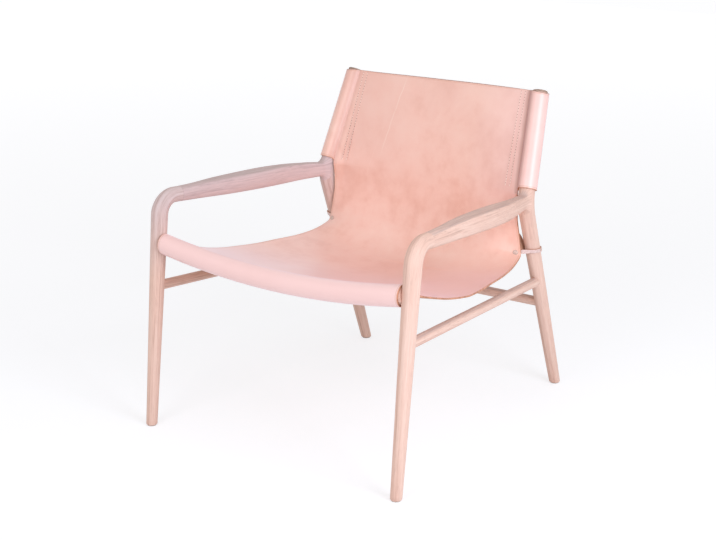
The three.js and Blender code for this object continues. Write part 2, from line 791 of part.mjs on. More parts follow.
function studFront(stud) {
  const gripLength = leatherThickness + 2 * strapThickness + 3 * clearance;
  const start = stud.at.clone().addScaledVector(stud.face, leatherThickness / 2 + clearance + studHeadHeight);
  const back = stud.face.clone().negate();
  const crown = studHeadHeight / 3;
  const profile = [
    [0, 0],
    [studHeadRadius / 2, crown / 4],
    [studHeadRadius - crown, crown],
    [studHeadRadius, studHeadHeight / 2],
    [studHeadRadius, studHeadHeight],
    [studShankRadius, studHeadHeight],
    [studShankRadius, studHeadHeight + gripLength + studNutHeight / 2],
    [0, studHeadHeight + gripLength + studNutHeight / 2],
  ];
  return turned(profile, start, back);
}

function studBack(stud) {
  const depth = leatherThickness / 2 + 2 * strapThickness + 3 * clearance;
  const start = stud.at.clone().addScaledVector(stud.face, -depth);
  const back = stud.face.clone().negate();
  const socket = studShankRadius + clearance;
  const socketDepth = studNutHeight / 2 + 2 * clearance;
  const profile = [
    [0, socketDepth],
    [socket, socketDepth],
    [socket, 0],
    [studNutRadius, 0],
    [studNutRadius, studNutHeight / 2],
    [studCollarRadius, studNutHeight],
    [0, studNutHeight],
  ];
  return turned(profile, start, back);
}

function studHole(stud) {
  const reach = leatherThickness + 2 * strapThickness + cutOverrun;
  const start = stud.at.clone().addScaledVector(stud.face, reach);
  const end = stud.at.clone().addScaledVector(stud.face, -reach);
  return rod(studShankRadius + clearance, start, end);
}

// The flats that the stud's head and nut press into the leather
function studSeat(stud, radius, depth, way) {
  const start = stud.at.clone().addScaledVector(stud.face, depth);
  return rod(radius + clearance, start, start.clone().addScaledVector(stud.face, way * cutOverrun));
}

const strapScrewCentre = onLeg(rearFoot, kink, strapHeight + strapScrewRise);
const strapScrewSurface = loopRadius + strapThickness / 2 + clearance;

function strapScrew() {
  const reach = strapScrewSurface + strapScrewHeadHeight;
  const start = strapScrewCentre.clone().addScaledVector(xAxis, reach);
  const profile = [
    [0, 0],
    [strapScrewHeadRadius / 2, strapScrewHeadHeight / 8],
    [strapScrewHeadRadius, strapScrewHeadHeight / 2],
    [strapScrewHeadRadius, strapScrewHeadHeight],
    [strapScrewShankRadius, strapScrewHeadHeight],
    [strapScrewShankRadius, strapScrewHeadHeight + strapScrewLength],
    [0, strapScrewHeadHeight + strapScrewLength],
  ];
  return turned(profile, start, xAxis.clone().negate());
}

function strapScrewHole() {
  const start = strapScrewCentre.clone().addScaledVector(xAxis, strapScrewSurface + cutOverrun);
  const depth = strapScrewSurface - strapScrewLength - clearance;
  const end = strapScrewCentre.clone().addScaledVector(xAxis, depth);
  return rod(strapScrewShankRadius + clearance, start, end);
}

function glide(foot, legAlong) {
  const centre = foot.clone().addScaledVector(legAlong, (glideHeight + clearance) / legAlong.z);
  const start = new THREE.Vector3(centre.x, centre.y, 0);
  const profile = [
    [0, 0],
    [glideRadius - glideHeight / 3, 0],
    [glideRadius, glideHeight / 3],
    [glideRadius, glideHeight],
    [glidePinRadius, glideHeight],
    [glidePinRadius, glideHeight + glidePinLength],
    [0, glideHeight + glidePinLength],
  ];
  return turned(profile, start, zAxis);
}

function glideHole(foot, legAlong) {
  const centre = foot.clone().addScaledVector(legAlong, (glideHeight + clearance) / legAlong.z);
  const start = new THREE.Vector3(centre.x, centre.y, 0);
  const end = start.clone().addScaledVector(zAxis, glideHeight + glidePinLength + clearance);
  return rod(glidePinRadius + clearance, start, end);
}

// The pieces

const oak = { color: 0xe3c3b3, roughness: 0.62, metalness: 0 };
const leather = { color: 0xf0bfae, roughness: 0.5, metalness: 0 };
const steel = { color: 0x9a9699, roughness: 0.35, metalness: 0.9 };
const felt = { color: 0xd8cfc6, roughness: 0.95, metalness: 0 };

const chair = new THREE.Group();
const woodwork = new THREE.Group();
const leatherwork = new THREE.Group();
const fittings = new THREE.Group();
chair.add(woodwork, leatherwork, fittings);

// A piece keeps its shape about its own middle and is moved to its place
function addPiece(group, name, geometry, look) {
  geometry.computeBoundingBox();
  const middle = geometry.boundingBox.getCenter(new THREE.Vector3());
  geometry.translate(-middle.x, -middle.y, -middle.z);
  const piece = new THREE.Mesh(geometry, new THREE.MeshStandardMaterial(look));
  piece.name = name;
  piece.position.copy(middle);
  group.add(piece);
}

function addBothSides(group, name, solid, look) {
  const geometry = geometryOf(solid);
  addPiece(group, `${name}_left`, mirrored(geometry), look);
  addPiece(group, `${name}_right`, geometry, look);
}

function addWoodwork() {
  const frontLegAlong = armCorner.clone().sub(frontFoot).normalize();
  const frontLeg = frontLegBody(0)
    .subtract(footCutter(frontFoot, frontLegAlong, frontFootRadius))
    .subtract(glideHole(frontFoot, frontLegAlong))
    .subtract(stretcherHole(sideStretcherFront, sideStretcherRear, frontSocketRadius))
    .subtract(railHole())
    .subtract(dowel(frontDowelLine(clearance), dowelRadius + clearance));
  const rearLeg = rearLegBody(0)
    .subtract(footCutter(rearFoot, rearLegAlong, rearFootRadius))
    .subtract(glideHole(rearFoot, rearLegAlong))
    .subtract(stretcherHole(sideStretcherRear, sideStretcherFront, rearSocketRadius))
    .subtract(stretcherHole(rearStretcherRight, rearStretcherLeft, crossSocketRadius))
    .subtract(dowel(rearDowelLine(clearance), dowelRadius + clearance))
    .subtract(strapScrewHole());
  const arm = armBody(rearLegBody(clearance))
    .subtract(dowel(frontDowelLine(clearance), dowelRadius + clearance))
    .subtract(dowel(rearDowelLine(clearance), dowelRadius + clearance));
  const legClearance = frontLegBody(clearance);
  addBothSides(woodwork, 'leg_front', frontLeg, oak);
  addBothSides(woodwork, 'leg_rear', rearLeg, oak);
  addBothSides(woodwork, 'arm', arm, oak);
  addBothSides(woodwork, 'arm_front_dowel', dowel(frontDowelLine(0), dowelRadius), oak);
  addBothSides(woodwork, 'arm_rear_dowel', dowel(rearDowelLine(0), dowelRadius), oak);
  const rail = railBody([legClearance, legClearance.mirror([1, 0, 0])]);
  addPiece(woodwork, 'rail_front', geometryOf(rail), oak);
  const sideStretcher = stretcher(sideStretcherFront, frontSocketRadius, sideStretcherRear, rearSocketRadius);
  addBothSides(woodwork, 'stretcher', sideStretcher, oak);
  const crossBar = stretcher(rearStretcherLeft, crossSocketRadius, rearStretcherRight, crossSocketRadius);
  addPiece(woodwork, 'stretcher_rear', geometryOf(crossBar), oak);
}

// Room for the post inside its sleeve
function postRoom() {
  const ringAt = (along) => {
    const at = kink.clone().addScaledVector(postAlong, along);
    const radius = lerp(kinkRadius, postTopRadius, along / postLength) + clearance;
    return roundRing({ at, along: postAlong }, radius, legSides);
  };
  return solidOf(loft([ringAt(sleeveStart - cutOverrun), ringAt(postLength + cutOverrun)]));
}

function addLeatherwork(stud) {
  const bore = postRoom();
  const frontLegs = frontLegBody(clearance).add(frontLegBody(clearance).mirror([1, 0, 0]));
  const hole = studHole(stud);
  const headSeat = studSeat(stud, studHeadRadius, leatherThickness / 2, 1);
  const nutDepth = leatherThickness / 2 + 2 * strapThickness + 2 * clearance;
  const nutSeat = studSeat(stud, studNutRadius, -nutDepth, -1);
  const sleeve = sleeveBody();
  const sling = sheetBody()
    .add(sleeve)
    .add(sleeve.mirror([1, 0, 0]))
    .subtract(bore)
    .subtract(bore.mirror([1, 0, 0]))
    .subtract(frontLegs)
    .subtract(hole.add(headSeat))
    .subtract(hole.add(headSeat).mirror([1, 0, 0]));
  addPiece(leatherwork, 'sling_leather', geometryOf(sling), leather);
  const strap = strapSolid(stud)
    .subtract(hole)
    .subtract(nutSeat)
    .subtract(strapScrewHole())
    .subtract(rearLegBody(clearance));
  addBothSides(leatherwork, 'corner_strap', strap, leather);
}

function addFittings(stud) {
  const frontLegAlong = armCorner.clone().sub(frontFoot).normalize();
  addBothSides(fittings, 'stud_front', studFront(stud), steel);
  addBothSides(fittings, 'stud_back', studBack(stud), steel);
  addBothSides(fittings, 'strap_screw', strapScrew(), steel);
  addBothSides(fittings, 'glide_front', glide(frontFoot, frontLegAlong), felt);
  addBothSides(fittings, 'glide_rear', glide(rearFoot, rearLegAlong), felt);
}

const cornerStud = studPlace();
addWoodwork();
addLeatherwork(cornerStud);
addFittings(cornerStud);

// The origin stands on the floor under the middle of the chair's box
const box = new THREE.Box3().setFromObject(chair);
chair.position.y = -(box.min.y + box.max.y) / 2;

export default chair;
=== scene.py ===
import math

import bpy
import numpy as np
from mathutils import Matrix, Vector, noise


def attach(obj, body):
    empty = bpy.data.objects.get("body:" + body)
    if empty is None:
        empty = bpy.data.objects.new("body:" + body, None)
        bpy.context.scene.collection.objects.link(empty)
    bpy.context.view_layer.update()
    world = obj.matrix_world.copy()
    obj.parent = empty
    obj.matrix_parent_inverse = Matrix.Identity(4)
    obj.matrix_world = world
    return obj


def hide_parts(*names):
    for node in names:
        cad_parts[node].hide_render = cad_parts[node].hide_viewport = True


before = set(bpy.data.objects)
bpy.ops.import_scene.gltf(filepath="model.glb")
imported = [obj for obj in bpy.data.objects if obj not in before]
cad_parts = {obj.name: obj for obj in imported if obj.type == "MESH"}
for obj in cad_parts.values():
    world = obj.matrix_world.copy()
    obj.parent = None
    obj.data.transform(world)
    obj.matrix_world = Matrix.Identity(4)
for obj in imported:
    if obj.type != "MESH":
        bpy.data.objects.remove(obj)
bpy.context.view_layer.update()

print("frame loaded:", len(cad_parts), "nodes")

# The chair faces -Y. Points are worked out in millimetres and scaled when a mesh is made.
mm = 0.001
xWay = np.array((1.0, 0.0, 0.0))
yWay = np.array((0.0, 1.0, 0.0))
zWay = np.array((0.0, 0.0, 1.0))
flipX = np.array((-1.0, 1.0, 1.0))


def vec(x, y, z):
    return np.array((x, y, z), float)


def unit(v):
    return v / np.linalg.norm(v)


def mix(a, b, share):
    return a + (b - a) * share


def ease(share):
    share = min(max(share, 0.0), 1.0)
    return share * share * (3 - 2 * share)


def eased(value, low, high):
    return ease((value - low) / (high - low))


def runAlong(line):  # the distance travelled at each point of a line
    return np.concatenate(([0], np.cumsum(np.linalg.norm(np.diff(line, axis=0), axis=1))))


def roundTurns(sides):
    return np.arange(sides) * 2 * math.pi / sides


def arc(centre, radius, angles):  # points of a flat arc
    return [centre + radius * np.array((math.cos(a), math.sin(a))) for a in angles]


def wayAngle(way):
    return math.atan2(way[1], way[0])


def shorterTurn(start, end):
    turn = (end - start) % (2 * math.pi)
    return turn - 2 * math.pi if turn > math.pi else turn


def halved(low, high, rounds, beyond):  # where a test turns true, found by halving
    for _ in range(rounds):
        middle = (low + high) / 2
        if beyond(middle):
            high = middle
        else:
            low = middle
    return (low + high) / 2


def gridFaces(rows, columns):
    faces = []
    for r in range(rows - 1):
        for c in range(columns - 1):
            a = r * columns + c
            faces.append((a, a + 1, a + columns + 1, a + columns))
    return faces


def spunFaces(rings, sides):  # a tip, rings and a tip, in this order
    faces = []
    last = 1 + rings * sides
    for i in range(sides):
        j = (i + 1) % sides
        faces.append((0, 1 + j, 1 + i))
        for r in range(rings - 1):
            a, b = 1 + r * sides, 1 + (r + 1) * sides
            faces.append((a + i, a + j, b + j, b + i))
        faces.append((last - sides + i, last - sides + j, last))
    return faces


def fromTable(table, share):  # a smooth line through rows of share and value
    shares = [row[0] for row in table]
    values = [row[1] for row in table]
    if share <= shares[0]:
        return values[0]
    if share >= shares[-1]:
        return values[-1]
    i = max(k for k in range(len(shares)) if shares[k] <= share)
    slopes = []
    for k in (i, i + 1):
        lo, hi = max(k - 1, 0), min(k + 1, len(shares) - 1)
        slopes.append((values[hi] - values[lo]) / (shares[hi] - shares[lo]))
    gap = shares[i + 1] - shares[i]
    t = (share - shares[i]) / gap
    return ((2 * t**3 - 3 * t**2 + 1) * values[i] + (t**3 - 2 * t**2 + t) * gap * slopes[0]
            + (3 * t**2 - 2 * t**3) * values[i + 1] + (t**3 - t**2) * gap * slopes[1])


def between(low, high, t, a, b):
    return ((high - t) * a + (t - low) * b) / (high - low)


class Curve:  # a centripetal spline through points, read by share of its length
    def __init__(self, points, steps=40):
        p = [np.array(q, float) for q in points]
        p = [2 * p[0] - p[1]] + p + [2 * p[-1] - p[-2]]
        line = []
        for i in range(1, len(p) - 2):
            knots = [0.0]
            for k in range(3):
                knots.append(knots[-1] + max(np.linalg.norm(p[i + k] - p[i + k - 1]), 1e-4) ** 0.5)
            for step in range(steps + (i == len(p) - 3)):
                t = mix(knots[1], knots[2], step / steps)
                a = [between(knots[k], knots[k + 1], t, p[i + k - 1], p[i + k]) for k in range(3)]
                b = [between(knots[k], knots[k + 2], t, a[k], a[k + 1]) for k in range(2)]
                line.append(between(knots[1], knots[2], t, b[0], b[1]))
        self.line = np.array(line)
        self.run = runAlong(self.line)
        self.length = self.run[-1]

    def at(self, share):
        return np.array([np.interp(share * self.length, self.run, self.line[:, k]) for k in range(3)])


def newMesh(name, points, faces, materials, slots=None, grain=None, sharp=40, **distances):
    mesh = bpy.data.meshes.new(name)
    mesh.from_pydata((np.asarray(points) * mm).tolist(), [], faces)
    for material in materials:
        mesh.materials.append(material)
    if slots is not None:
        mesh.polygons.foreach_set("material_index", slots)
    if grain is not None:
        attribute = mesh.attributes.new("grain", "FLOAT_VECTOR", "POINT")
        attribute.data.foreach_set("vector", (np.asarray(grain) * mm).ravel())
    for key, values in distances.items():
        attribute = mesh.attributes.new(key, "FLOAT", "POINT")
        attribute.data.foreach_set("value", np.asarray(values, float) * mm)
    mesh.polygons.foreach_set("use_smooth", [True] * len(mesh.polygons))
    mesh.validate()
    mesh.update()
    mesh.set_sharp_from_angle(angle=math.radians(sharp))
    piece = bpy.data.objects.new(name, mesh)
    bpy.context.scene.collection.objects.link(piece)
    return piece


def finishPiece(piece, slot, *nodes):
    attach(piece, "root")
    if nodes:
        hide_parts(*nodes)
    return piece


# Materials

def rgb(red, green, blue):  # a colour as it is seen, 0 to 255, made linear
    seen = [c / 255 for c in (red, green, blue)]
    return tuple(((c + 0.055) / 1.055) ** 2.4 if c > 0.04 else c / 12.92 for c in seen) + (1.0,)


def shades(table):
    return {key: rgb(*colour) for key, colour in table.items()}


class Nodes:  # short words for shader nodes
    def __init__(self, tree):
        self.tree = tree

    def node(self, kind, settings=None, **inputs):
        made = self.tree.nodes.new(kind)
        for key, value in (settings or {}).items():
            setattr(made, key, value)
        for key, value in inputs.items():
            self.put(made.inputs[key.replace("_", " ")], value)
        return made

    def put(self, socket, value):
        if isinstance(value, bpy.types.NodeSocket):
            self.tree.links.new(value, socket)
        else:
            socket.default_value = value

    def place(self, scale, source="object", shift=(0, 0, 0)):  # where on the piece, stretched by a scale
        if source == "object":
            where = self.node("ShaderNodeTexCoord").outputs["Object"]
        else:
            where = self.carried(source, "Vector")
        mapping = self.node("ShaderNodeMapping", Vector=where)
        mapping.inputs["Scale"].default_value = scale
        mapping.inputs["Location"].default_value = shift
        return mapping.outputs["Vector"]

    def noise(self, where, scale, detail=3.0, rough=0.5, twist=0.0):
        return self.node("ShaderNodeTexNoise", Vector=where, Scale=scale, Detail=detail, Roughness=rough,
                         Distortion=twist).outputs["Fac"]

    def carried(self, name, output="Fac"):  # a value that the mesh carries
        return self.node("ShaderNodeAttribute", {"attribute_name": name}).outputs[output]

    def axis(self, where, letter):
        return self.node("ShaderNodeSeparateXYZ", Vector=where).outputs[letter]

    def cells(self, where, scale):
        return self.node("ShaderNodeTexVoronoi", Vector=where, Scale=scale).outputs["Distance"]

    def ramp(self, value, *stops):
        made = self.node("ShaderNodeValToRGB", Fac=value)
        made.color_ramp.elements[0].position, made.color_ramp.elements[0].color = stops[0]
        made.color_ramp.elements[1].position, made.color_ramp.elements[1].color = stops[-1]
        for position, colour in stops[1:-1]:
            made.color_ramp.elements.new(position).color = colour
        return made.outputs["Color"]

    def reach(self, value, low, high, toLow=0.0, toHigh=1.0):  # a value stretched between two limits
        return self.node("ShaderNodeMapRange", {"clamp": True}, Value=value, From_Min=low, From_Max=high,
                         To_Min=toLow, To_Max=toHigh).outputs["Result"]

    def math(self, what, a, b=0.0):
        made = self.node("ShaderNodeMath", {"operation": what})
        self.put(made.inputs[0], a)
        self.put(made.inputs[1], b)
        return made.outputs["Value"]

    def times(self, a, b):
        return self.math("MULTIPLY", a, b)

    def apart(self, a, b):
        return self.math("ABSOLUTE", self.math("SUBTRACT", a, b))

    def blend(self, share, a, b, how="MIX"):
        made = self.node("ShaderNodeMix", {"data_type": "RGBA", "blend_type": how})
        self.put(made.inputs["Factor"], share)
        self.put([s for s in made.inputs if s.name == "A" and s.type == "RGBA"][0], a)
        self.put([s for s in made.inputs if s.name == "B" and s.type == "RGBA"][0], b)
        return [s for s in made.outputs if s.type == "RGBA"][0]

    def bump(self, height, depth, strength=1.0, under=None):
        made = self.node("ShaderNodeBump", Height=height, Distance=depth, Strength=strength)
        if under is not None:
            self.put(made.inputs["Normal"], under)
        return made.outputs["Normal"]

    def seenStraight(self):  # 1 where the camera looks, also in a mirror or through glass
        ray = self.node("ShaderNodeLightPath")
        seen = self.math("MAXIMUM", ray.outputs["Is Camera Ray"], ray.outputs["Is Glossy Ray"])
        return self.math("MAXIMUM", seen, ray.outputs["Is Transmission Ray"])


class Look(Nodes):  # a material, built up step by step
    def __init__(self, name):
        self.material = bpy.data.materials.new(name)
        self.material.use_nodes = True
        super().__init__(self.material.node_tree)
        self.shader = self.tree.nodes["Principled BSDF"]

    def wear(self, colour, rough, normal=None, **constants):
        self.put(self.shader.inputs["Base Color"], colour)
        self.put(self.shader.inputs["Roughness"], rough)
        if normal is not None:
            self.put(self.shader.inputs["Normal"], normal)
        for key, value in constants.items():
            self.shader.inputs[key.replace("_", " ")].default_value = value
        return self.material


oakLook = shades({
    "pale": (240, 210, 196), "middle": (230, 195, 180), "streak": (206, 171, 156), "pore": (164, 128, 113),
})
# darker, cooler oak tones for the left arm: painted shade on the side away from the key lamp
oakLeftShadeLook = shades({
    "pale": (223, 202, 202), "middle": (211, 191, 192), "streak": (189, 167, 168), "pore": (154, 132, 133),
})
topShadeGrey = rgb(190, 168, 164)  # painted shade: the up-facing tops of the arms, rail and stretchers turn grey
leftShadeTint = (0.84, 0.98, 1.16, 1.0)  # painted cool shade: share of red, green and blue that the left legs keep high up
leftShadeOver = 0.16
oakGrain = {  # stretch along the stick and size of each pattern, and where its tones lie
    "line": 0.035, "bandSize": 420, "poreSize": 1400, "figure": 0.012, "figureSize": 130,
    "patch": 0.3, "patchSize": 14, "figureShare": 0.6, "toneAt": (0.34, 0.46, 0.64),
    "poreAt": (0.57, 0.68), "poreShare": 0.34, "rough": (0.62, 0.5), "topShadeUp": (0.55, 0.8),
}


def oak(name, shift, poresAndTopShade=0.0, tones=oakLook, shadeFrom=None):  # pale oak whose grain runs along each stick
    look = Look(name)
    along = look.place((1, 1, oakGrain["line"]), "grain", shift)
    figureWhere = look.place((1, 1, oakGrain["figure"]), "grain", shift)
    figure = look.noise(figureWhere, oakGrain["figureSize"], 4, 0.6, 0.6)
    band = look.noise(along, oakGrain["bandSize"], 3, 0.55)
    pores = look.noise(along, oakGrain["poreSize"], 2, 0.5)
    broad = look.noise(look.place((1, 1, oakGrain["patch"]), "grain", shift), oakGrain["patchSize"], 2)
    figureShare = oakGrain["figureShare"]
    grainy = look.math("ADD", look.times(figure, figureShare), look.times(band, 1 - figureShare))
    tone = look.ramp(grainy, *zip(oakGrain["toneAt"], (tones["streak"], tones["middle"], tones["pale"])))
    pore = look.times(look.reach(pores, *oakGrain["poreAt"]), look.reach(broad, 0.35, 0.6, 0.35, 1.0))
    tone = look.blend(look.times(pore, oakGrain["poreShare"] + poresAndTopShade), tone, tones["pore"])
    tone = look.blend(look.reach(broad, 0.4, 0.7, 0.0, 0.2), tone, tones["middle"], "MULTIPLY")
    if shadeFrom:  # painted cool shade from this height upwards
        height = look.axis(look.place((1, 1, 1)), "Z")
        tone = look.blend(look.reach(height, shadeFrom, shadeFrom + leftShadeOver), tone, leftShadeTint, "MULTIPLY")
    # painted shade: up-facing tops turn grey, in streaks along the grain
    if poresAndTopShade:
        up = look.axis(look.node("ShaderNodeNewGeometry").outputs["Normal"], "Z")
        topShade = look.times(look.reach(up, *oakGrain["topShadeUp"]), look.reach(band, 0.3, 0.6, 0.75, 0.3))
        tone = look.blend(topShade, tone, topShadeGrey)
    rough = look.reach(figure, 0.3, 0.7, *oakGrain["rough"])
    bumpy = look.bump(pore, 0.0003, 0.5, look.bump(band, 0.0004, 0.25))
    return look.wear(tone, rough, bumpy, Specular_IOR_Level=0.35)


# real end grain tones, kept dark also as painted shade on the posts' rims above the sleeves
endGrainShadeLook = shades({"ring": (184, 160, 146), "between": (150, 128, 116), "pore": (120, 98, 86)})


def oakEnd():  # end grain of the posts' tops, with rings and open pores; its dark tones are also painted shade on the posts' rims
    look = Look("oakEndGrainAndShade")
    where = look.place((1, 1, 1))
    rings = look.node("ShaderNodeTexWave", {"wave_type": "RINGS", "rings_direction": "Y"},
                      Vector=where, Scale=90, Distortion=3, Detail=3).outputs["Fac"]
    pores = look.cells(where, 900)
    ringed = look.ramp(rings, (0.1, endGrainShadeLook["between"]), (0.9, endGrainShadeLook["ring"]))
    tone = look.blend(look.reach(pores, 0.1, 0.35, 0.6, 0.0), ringed, endGrainShadeLook["pore"])
    return look.wear(tone, 0.7, look.bump(pores, 0.0003, 0.4), Specular_IOR_Level=0.3)


hideLook = shades({
    "pale": (251, 209, 194), "middle": (248, 200, 184), "warm": (238, 182, 163), "scratch": (253, 226, 214),
    # this line: darker tone for the back's top and left, painted shade on the seat and in the sleeves'
    # valleys, a painted pale sheen
    "upperBackDark": (224, 174, 160), "seatShade": (236, 180, 158), "paintedSheen": (250, 213, 211), "fold": (186, 134, 122),
    "cut": (150, 114, 102), "edge": (210, 152, 122), "edgeDark": (168, 114, 90),
    "flesh": (216, 172, 146), "fleshDark": (188, 142, 116),
})
# Scratches on the flat hide: shares across and along, offset, half width, strength, first and last run
scratches = [
    (0.985, -0.17, -0.281, 0.0016, 0.8, 0.87, 1.068),
    (0.97, -0.24, -0.36, 0.0006, 0.4, 0.80, 0.95),
    (0.62, 0.78, 0.66, 0.0006, 0.45, 0.30, 0.90),
    (-0.35, 0.94, 0.52, 0.0006, 0.4, 0.30, 0.90),
]
hideCrease = {"foldAt": 0.006, "creaseAt": 0.0042, "scratchFade": 0.03}
hideZones = {  # two limits, in metres where it is a place, and the shares of the tone at them
    # the next two lines: painted shade high on the back in clouds, then the back darker on its left, high up
    "upperShadeHigh": (0.46, 0.72, 0.0, 1.0), "upperShadeCloud": (0.35, 0.62, 0.7, 0.25),
    "leftBackAcross": (-0.24, 0.12, 0.55, 0.0), "leftBackHigh": (0.4, 0.55, 0.0, 1.0),
    # frontAlong and the next two lines place the painted pale sheen
    "sleeveAcross": (0.225, 0.235, 1.0, 0.0), "frontAlong": (0.17, 0.30, 0.85, 0.0),
    "leftAcross": (-0.3, -0.05, 0.8, 0.0), "leftAlong": (0.3, 0.5, 1.0, 0.0),
    "rightAcross": (0.1, 0.36, 0.0, 0.8), "rightHigh": (0.42, 0.5, 0.0, 1.0),
    # this line: where the painted shade on the seat lies
    "seatFrom": (0.2, 0.3, 0.0, 1.0), "seatTo": (0.55, 0.75, 1.0, 0.0), "seatShadeAcross": (-0.15, 0.05, 0.0, 0.6),
    # this line: where the painted shade in the sleeves' valleys lies, weaker on the left
    "fold": (0.004, 0.016, 1.0, 0.0), "foldAcross": (-0.01, 0.01, 0.4, 0.95),
    "crease": (0.0004, 0.0010, 0.5, 0.0), "rim": (0.0010, 0.0024, 0.9, 0.0),
    "cutRim": (0.0012, 0.0022, 0.85, 0.0), "cutHigh": (0.66, 0.68, 0.0, 1.0),
}


def zone(look, value, name):
    return look.reach(value, *hideZones[name])


def hideClouds(look, where, cloud, patch):  # soft clouds of tone with pale streaks and small flecks
    mixed = look.math("ADD", look.times(cloud, 0.6), look.times(patch, 0.4))
    tone = look.ramp(mixed, (0.38, hideLook["warm"]), (0.5, hideLook["middle"]), (0.62, hideLook["pale"]))
    streak = look.noise(look.place((1, 0.14, 0.14)), 60, 3, 0.6)
    fleck = look.noise(where, 420, 2, 0.6)
    tone = look.blend(look.reach(streak, 0.5, 0.75, 0.0, 0.22), tone, hideLook["pale"])
    return look.blend(look.reach(fleck, 0.62, 0.74, 0.0, 0.18), tone, hideLook["warm"])


# Painted shade high on the back and on the seat, the back darker on its left, and a painted pale sheen in
# places
def hideUse(look, tone, cloud, height, across, along):
    # painted shade high on the back, in clouds
    upperBackDark = look.times(zone(look, height, "upperShadeHigh"), zone(look, cloud, "upperShadeCloud"))
    # the back darker on its left, fading out right of the middle, high up and kept off the sleeves
    leftBackDark = look.times(zone(look, across, "leftBackAcross"), zone(look, height, "leftBackHigh"))
    inSleeve = zone(look, look.math("ABSOLUTE", across), "sleeveAcross")
    backDarker = look.math("MAXIMUM", upperBackDark, look.times(leftBackDark, inSleeve))
    tone = look.blend(backDarker, tone, hideLook["upperBackDark"])
    # a painted pale sheen at the front, the left front and high on the right
    leftFront = look.times(zone(look, across, "leftAcross"), zone(look, along, "leftAlong"))
    rightBack = look.times(zone(look, across, "rightAcross"), zone(look, height, "rightHigh"))
    sides = look.math("MAXIMUM", leftFront, rightBack)
    paintedSheen = look.math("MAXIMUM", zone(look, along, "frontAlong"), sides)
    tone = look.blend(paintedSheen, tone, hideLook["paintedSheen"])
    # painted shade on the seat, from left of its middle to the right side, strongest on the right
    seat = look.times(zone(look, along, "seatFrom"), zone(look, along, "seatTo"))
    seatShade = look.times(zone(look, across, "seatShadeAcross"), seat)
    return look.blend(seatShade, tone, hideLook["seatShade"])


def scratchMarks(look, where, across, along):
    wobble = look.times(look.math("SUBTRACT", look.noise(where, 30, 2), 0.5), 0.006)
    fade = hideCrease["scratchFade"]
    marks = None
    for acrossShare, alongShare, offset, width, firm, first, last in scratches:
        reach = look.math("ADD", look.times(across, acrossShare), look.times(along, alongShare))
        off = look.math("ABSOLUTE", look.math("ADD", look.math("SUBTRACT", reach, offset), wobble))
        line = look.reach(off, width * 0.3, width, firm, 0.0)
        line = look.times(line, look.reach(look.noise(where, 9, 1), 0.42, 0.56))
        line = look.times(line, look.reach(along, first, first + fade))
        line = look.times(line, look.reach(along, last - fade, last, 1.0, 0.0))
        marks = line if marks is None else look.math("MAXIMUM", marks, line)
    return marks


def hideRims(look, tone, height, across):  # painted shade by the fold at the sleeves, the crease by the rim and the cut rim
    # painted shade darkens the valley beside each sleeve's tube, more on the right
    folded = zone(look, look.apart(look.carried("fold"), hideCrease["foldAt"]), "fold")
    folded = look.times(folded, zone(look, across, "foldAcross"))
    tone = look.blend(folded, tone, hideLook["fold"])
    rim = look.carried("rim")
    creased = zone(look, look.apart(rim, hideCrease["creaseAt"]), "crease")
    tone = look.blend(creased, tone, hideLook["edge"])
    tone = look.blend(zone(look, rim, "rim"), tone, hideLook["edge"])
    topCut = look.times(zone(look, rim, "cutRim"), zone(look, height, "cutHigh"))
    return look.blend(topCut, tone, hideLook["cut"])


def hideFace():  # the grain side of undyed leather
    look = Look("hideFace")
    where = look.place((1, 1, 1))
    height = look.axis(where, "Z")
    flat = look.carried("grain", "Vector")
    across, along = look.axis(flat, "X"), look.axis(flat, "Y")
    cloud = look.noise(where, 5.5, 4, 0.55, 0.4)
    patch = look.noise(where, 26, 4, 0.6)
    tone = hideUse(look, hideClouds(look, where, cloud, patch), cloud, height, across, along)
    marks = scratchMarks(look, where, across, along)
    tone = look.blend(look.times(marks, 0.55), tone, hideLook["scratch"])
    tone = hideRims(look, tone, height, across)
    pebble = look.cells(where, 850)
    crease = look.noise(where, 190, 3, 0.65)
    rough = look.reach(patch, 0.3, 0.7, 0.42, 0.56)
    bumpy = look.bump(pebble, 0.0002, 0.35, look.bump(crease, 0.0006, 0.28, look.bump(marks, 0.0003, -0.4)))
    return look.wear(tone, rough, bumpy, Specular_IOR_Level=0.5, Coat_Weight=1.0, Coat_Roughness=0.4,
                     Coat_IOR=1.6, Sheen_Weight=0.3, Sheen_Roughness=0.4, Sheen_Tint=rgb(236, 222, 255))


def hideFlesh():  # the brushed inner side
    look = Look("hideFlesh")
    where = look.place((1, 1, 1))
    nap = look.noise(where, 520, 4, 0.7)
    tone = look.ramp(look.noise(where, 9, 5, 0.6), (0.25, hideLook["fleshDark"]), (0.7, hideLook["flesh"]))
    tone = look.blend(look.reach(nap, 0.4, 0.7, 0.0, 0.4), tone, hideLook["fleshDark"])
    return look.wear(tone, 0.88, look.bump(nap, 0.0008, 0.6), Specular_IOR_Level=0.2, Sheen_Weight=0.15)


def hideEdge():  # burnished cut edges, darkest in streaks
    look = Look("hideEdge")
    where = look.place((1, 1, 1))
    tone = look.ramp(look.noise(where, 90, 3, 0.6), (0.35, hideLook["edgeDark"]), (0.6, hideLook["edge"]))
    fibre = look.noise(where, 900, 3, 0.7)
    return look.wear(tone, 0.45, look.bump(fibre, 0.0002, 0.4), Specular_IOR_Level=0.4)


def plainLook(name, colour, spot, rough, scale, depth, metal=0.0):
    look = Look(name)
    grainy = look.noise(look.place((1, 1, 1)), scale, 3, 0.6)
    tone = look.ramp(grainy, (0.3, rgb(*spot)), (0.6, rgb(*colour)))
    bumpy = look.bump(grainy, depth, 0.4)
    return look.wear(tone, look.reach(grainy, 0.3, 0.7, rough * 0.85, rough * 1.1), bumpy, Metallic=metal)


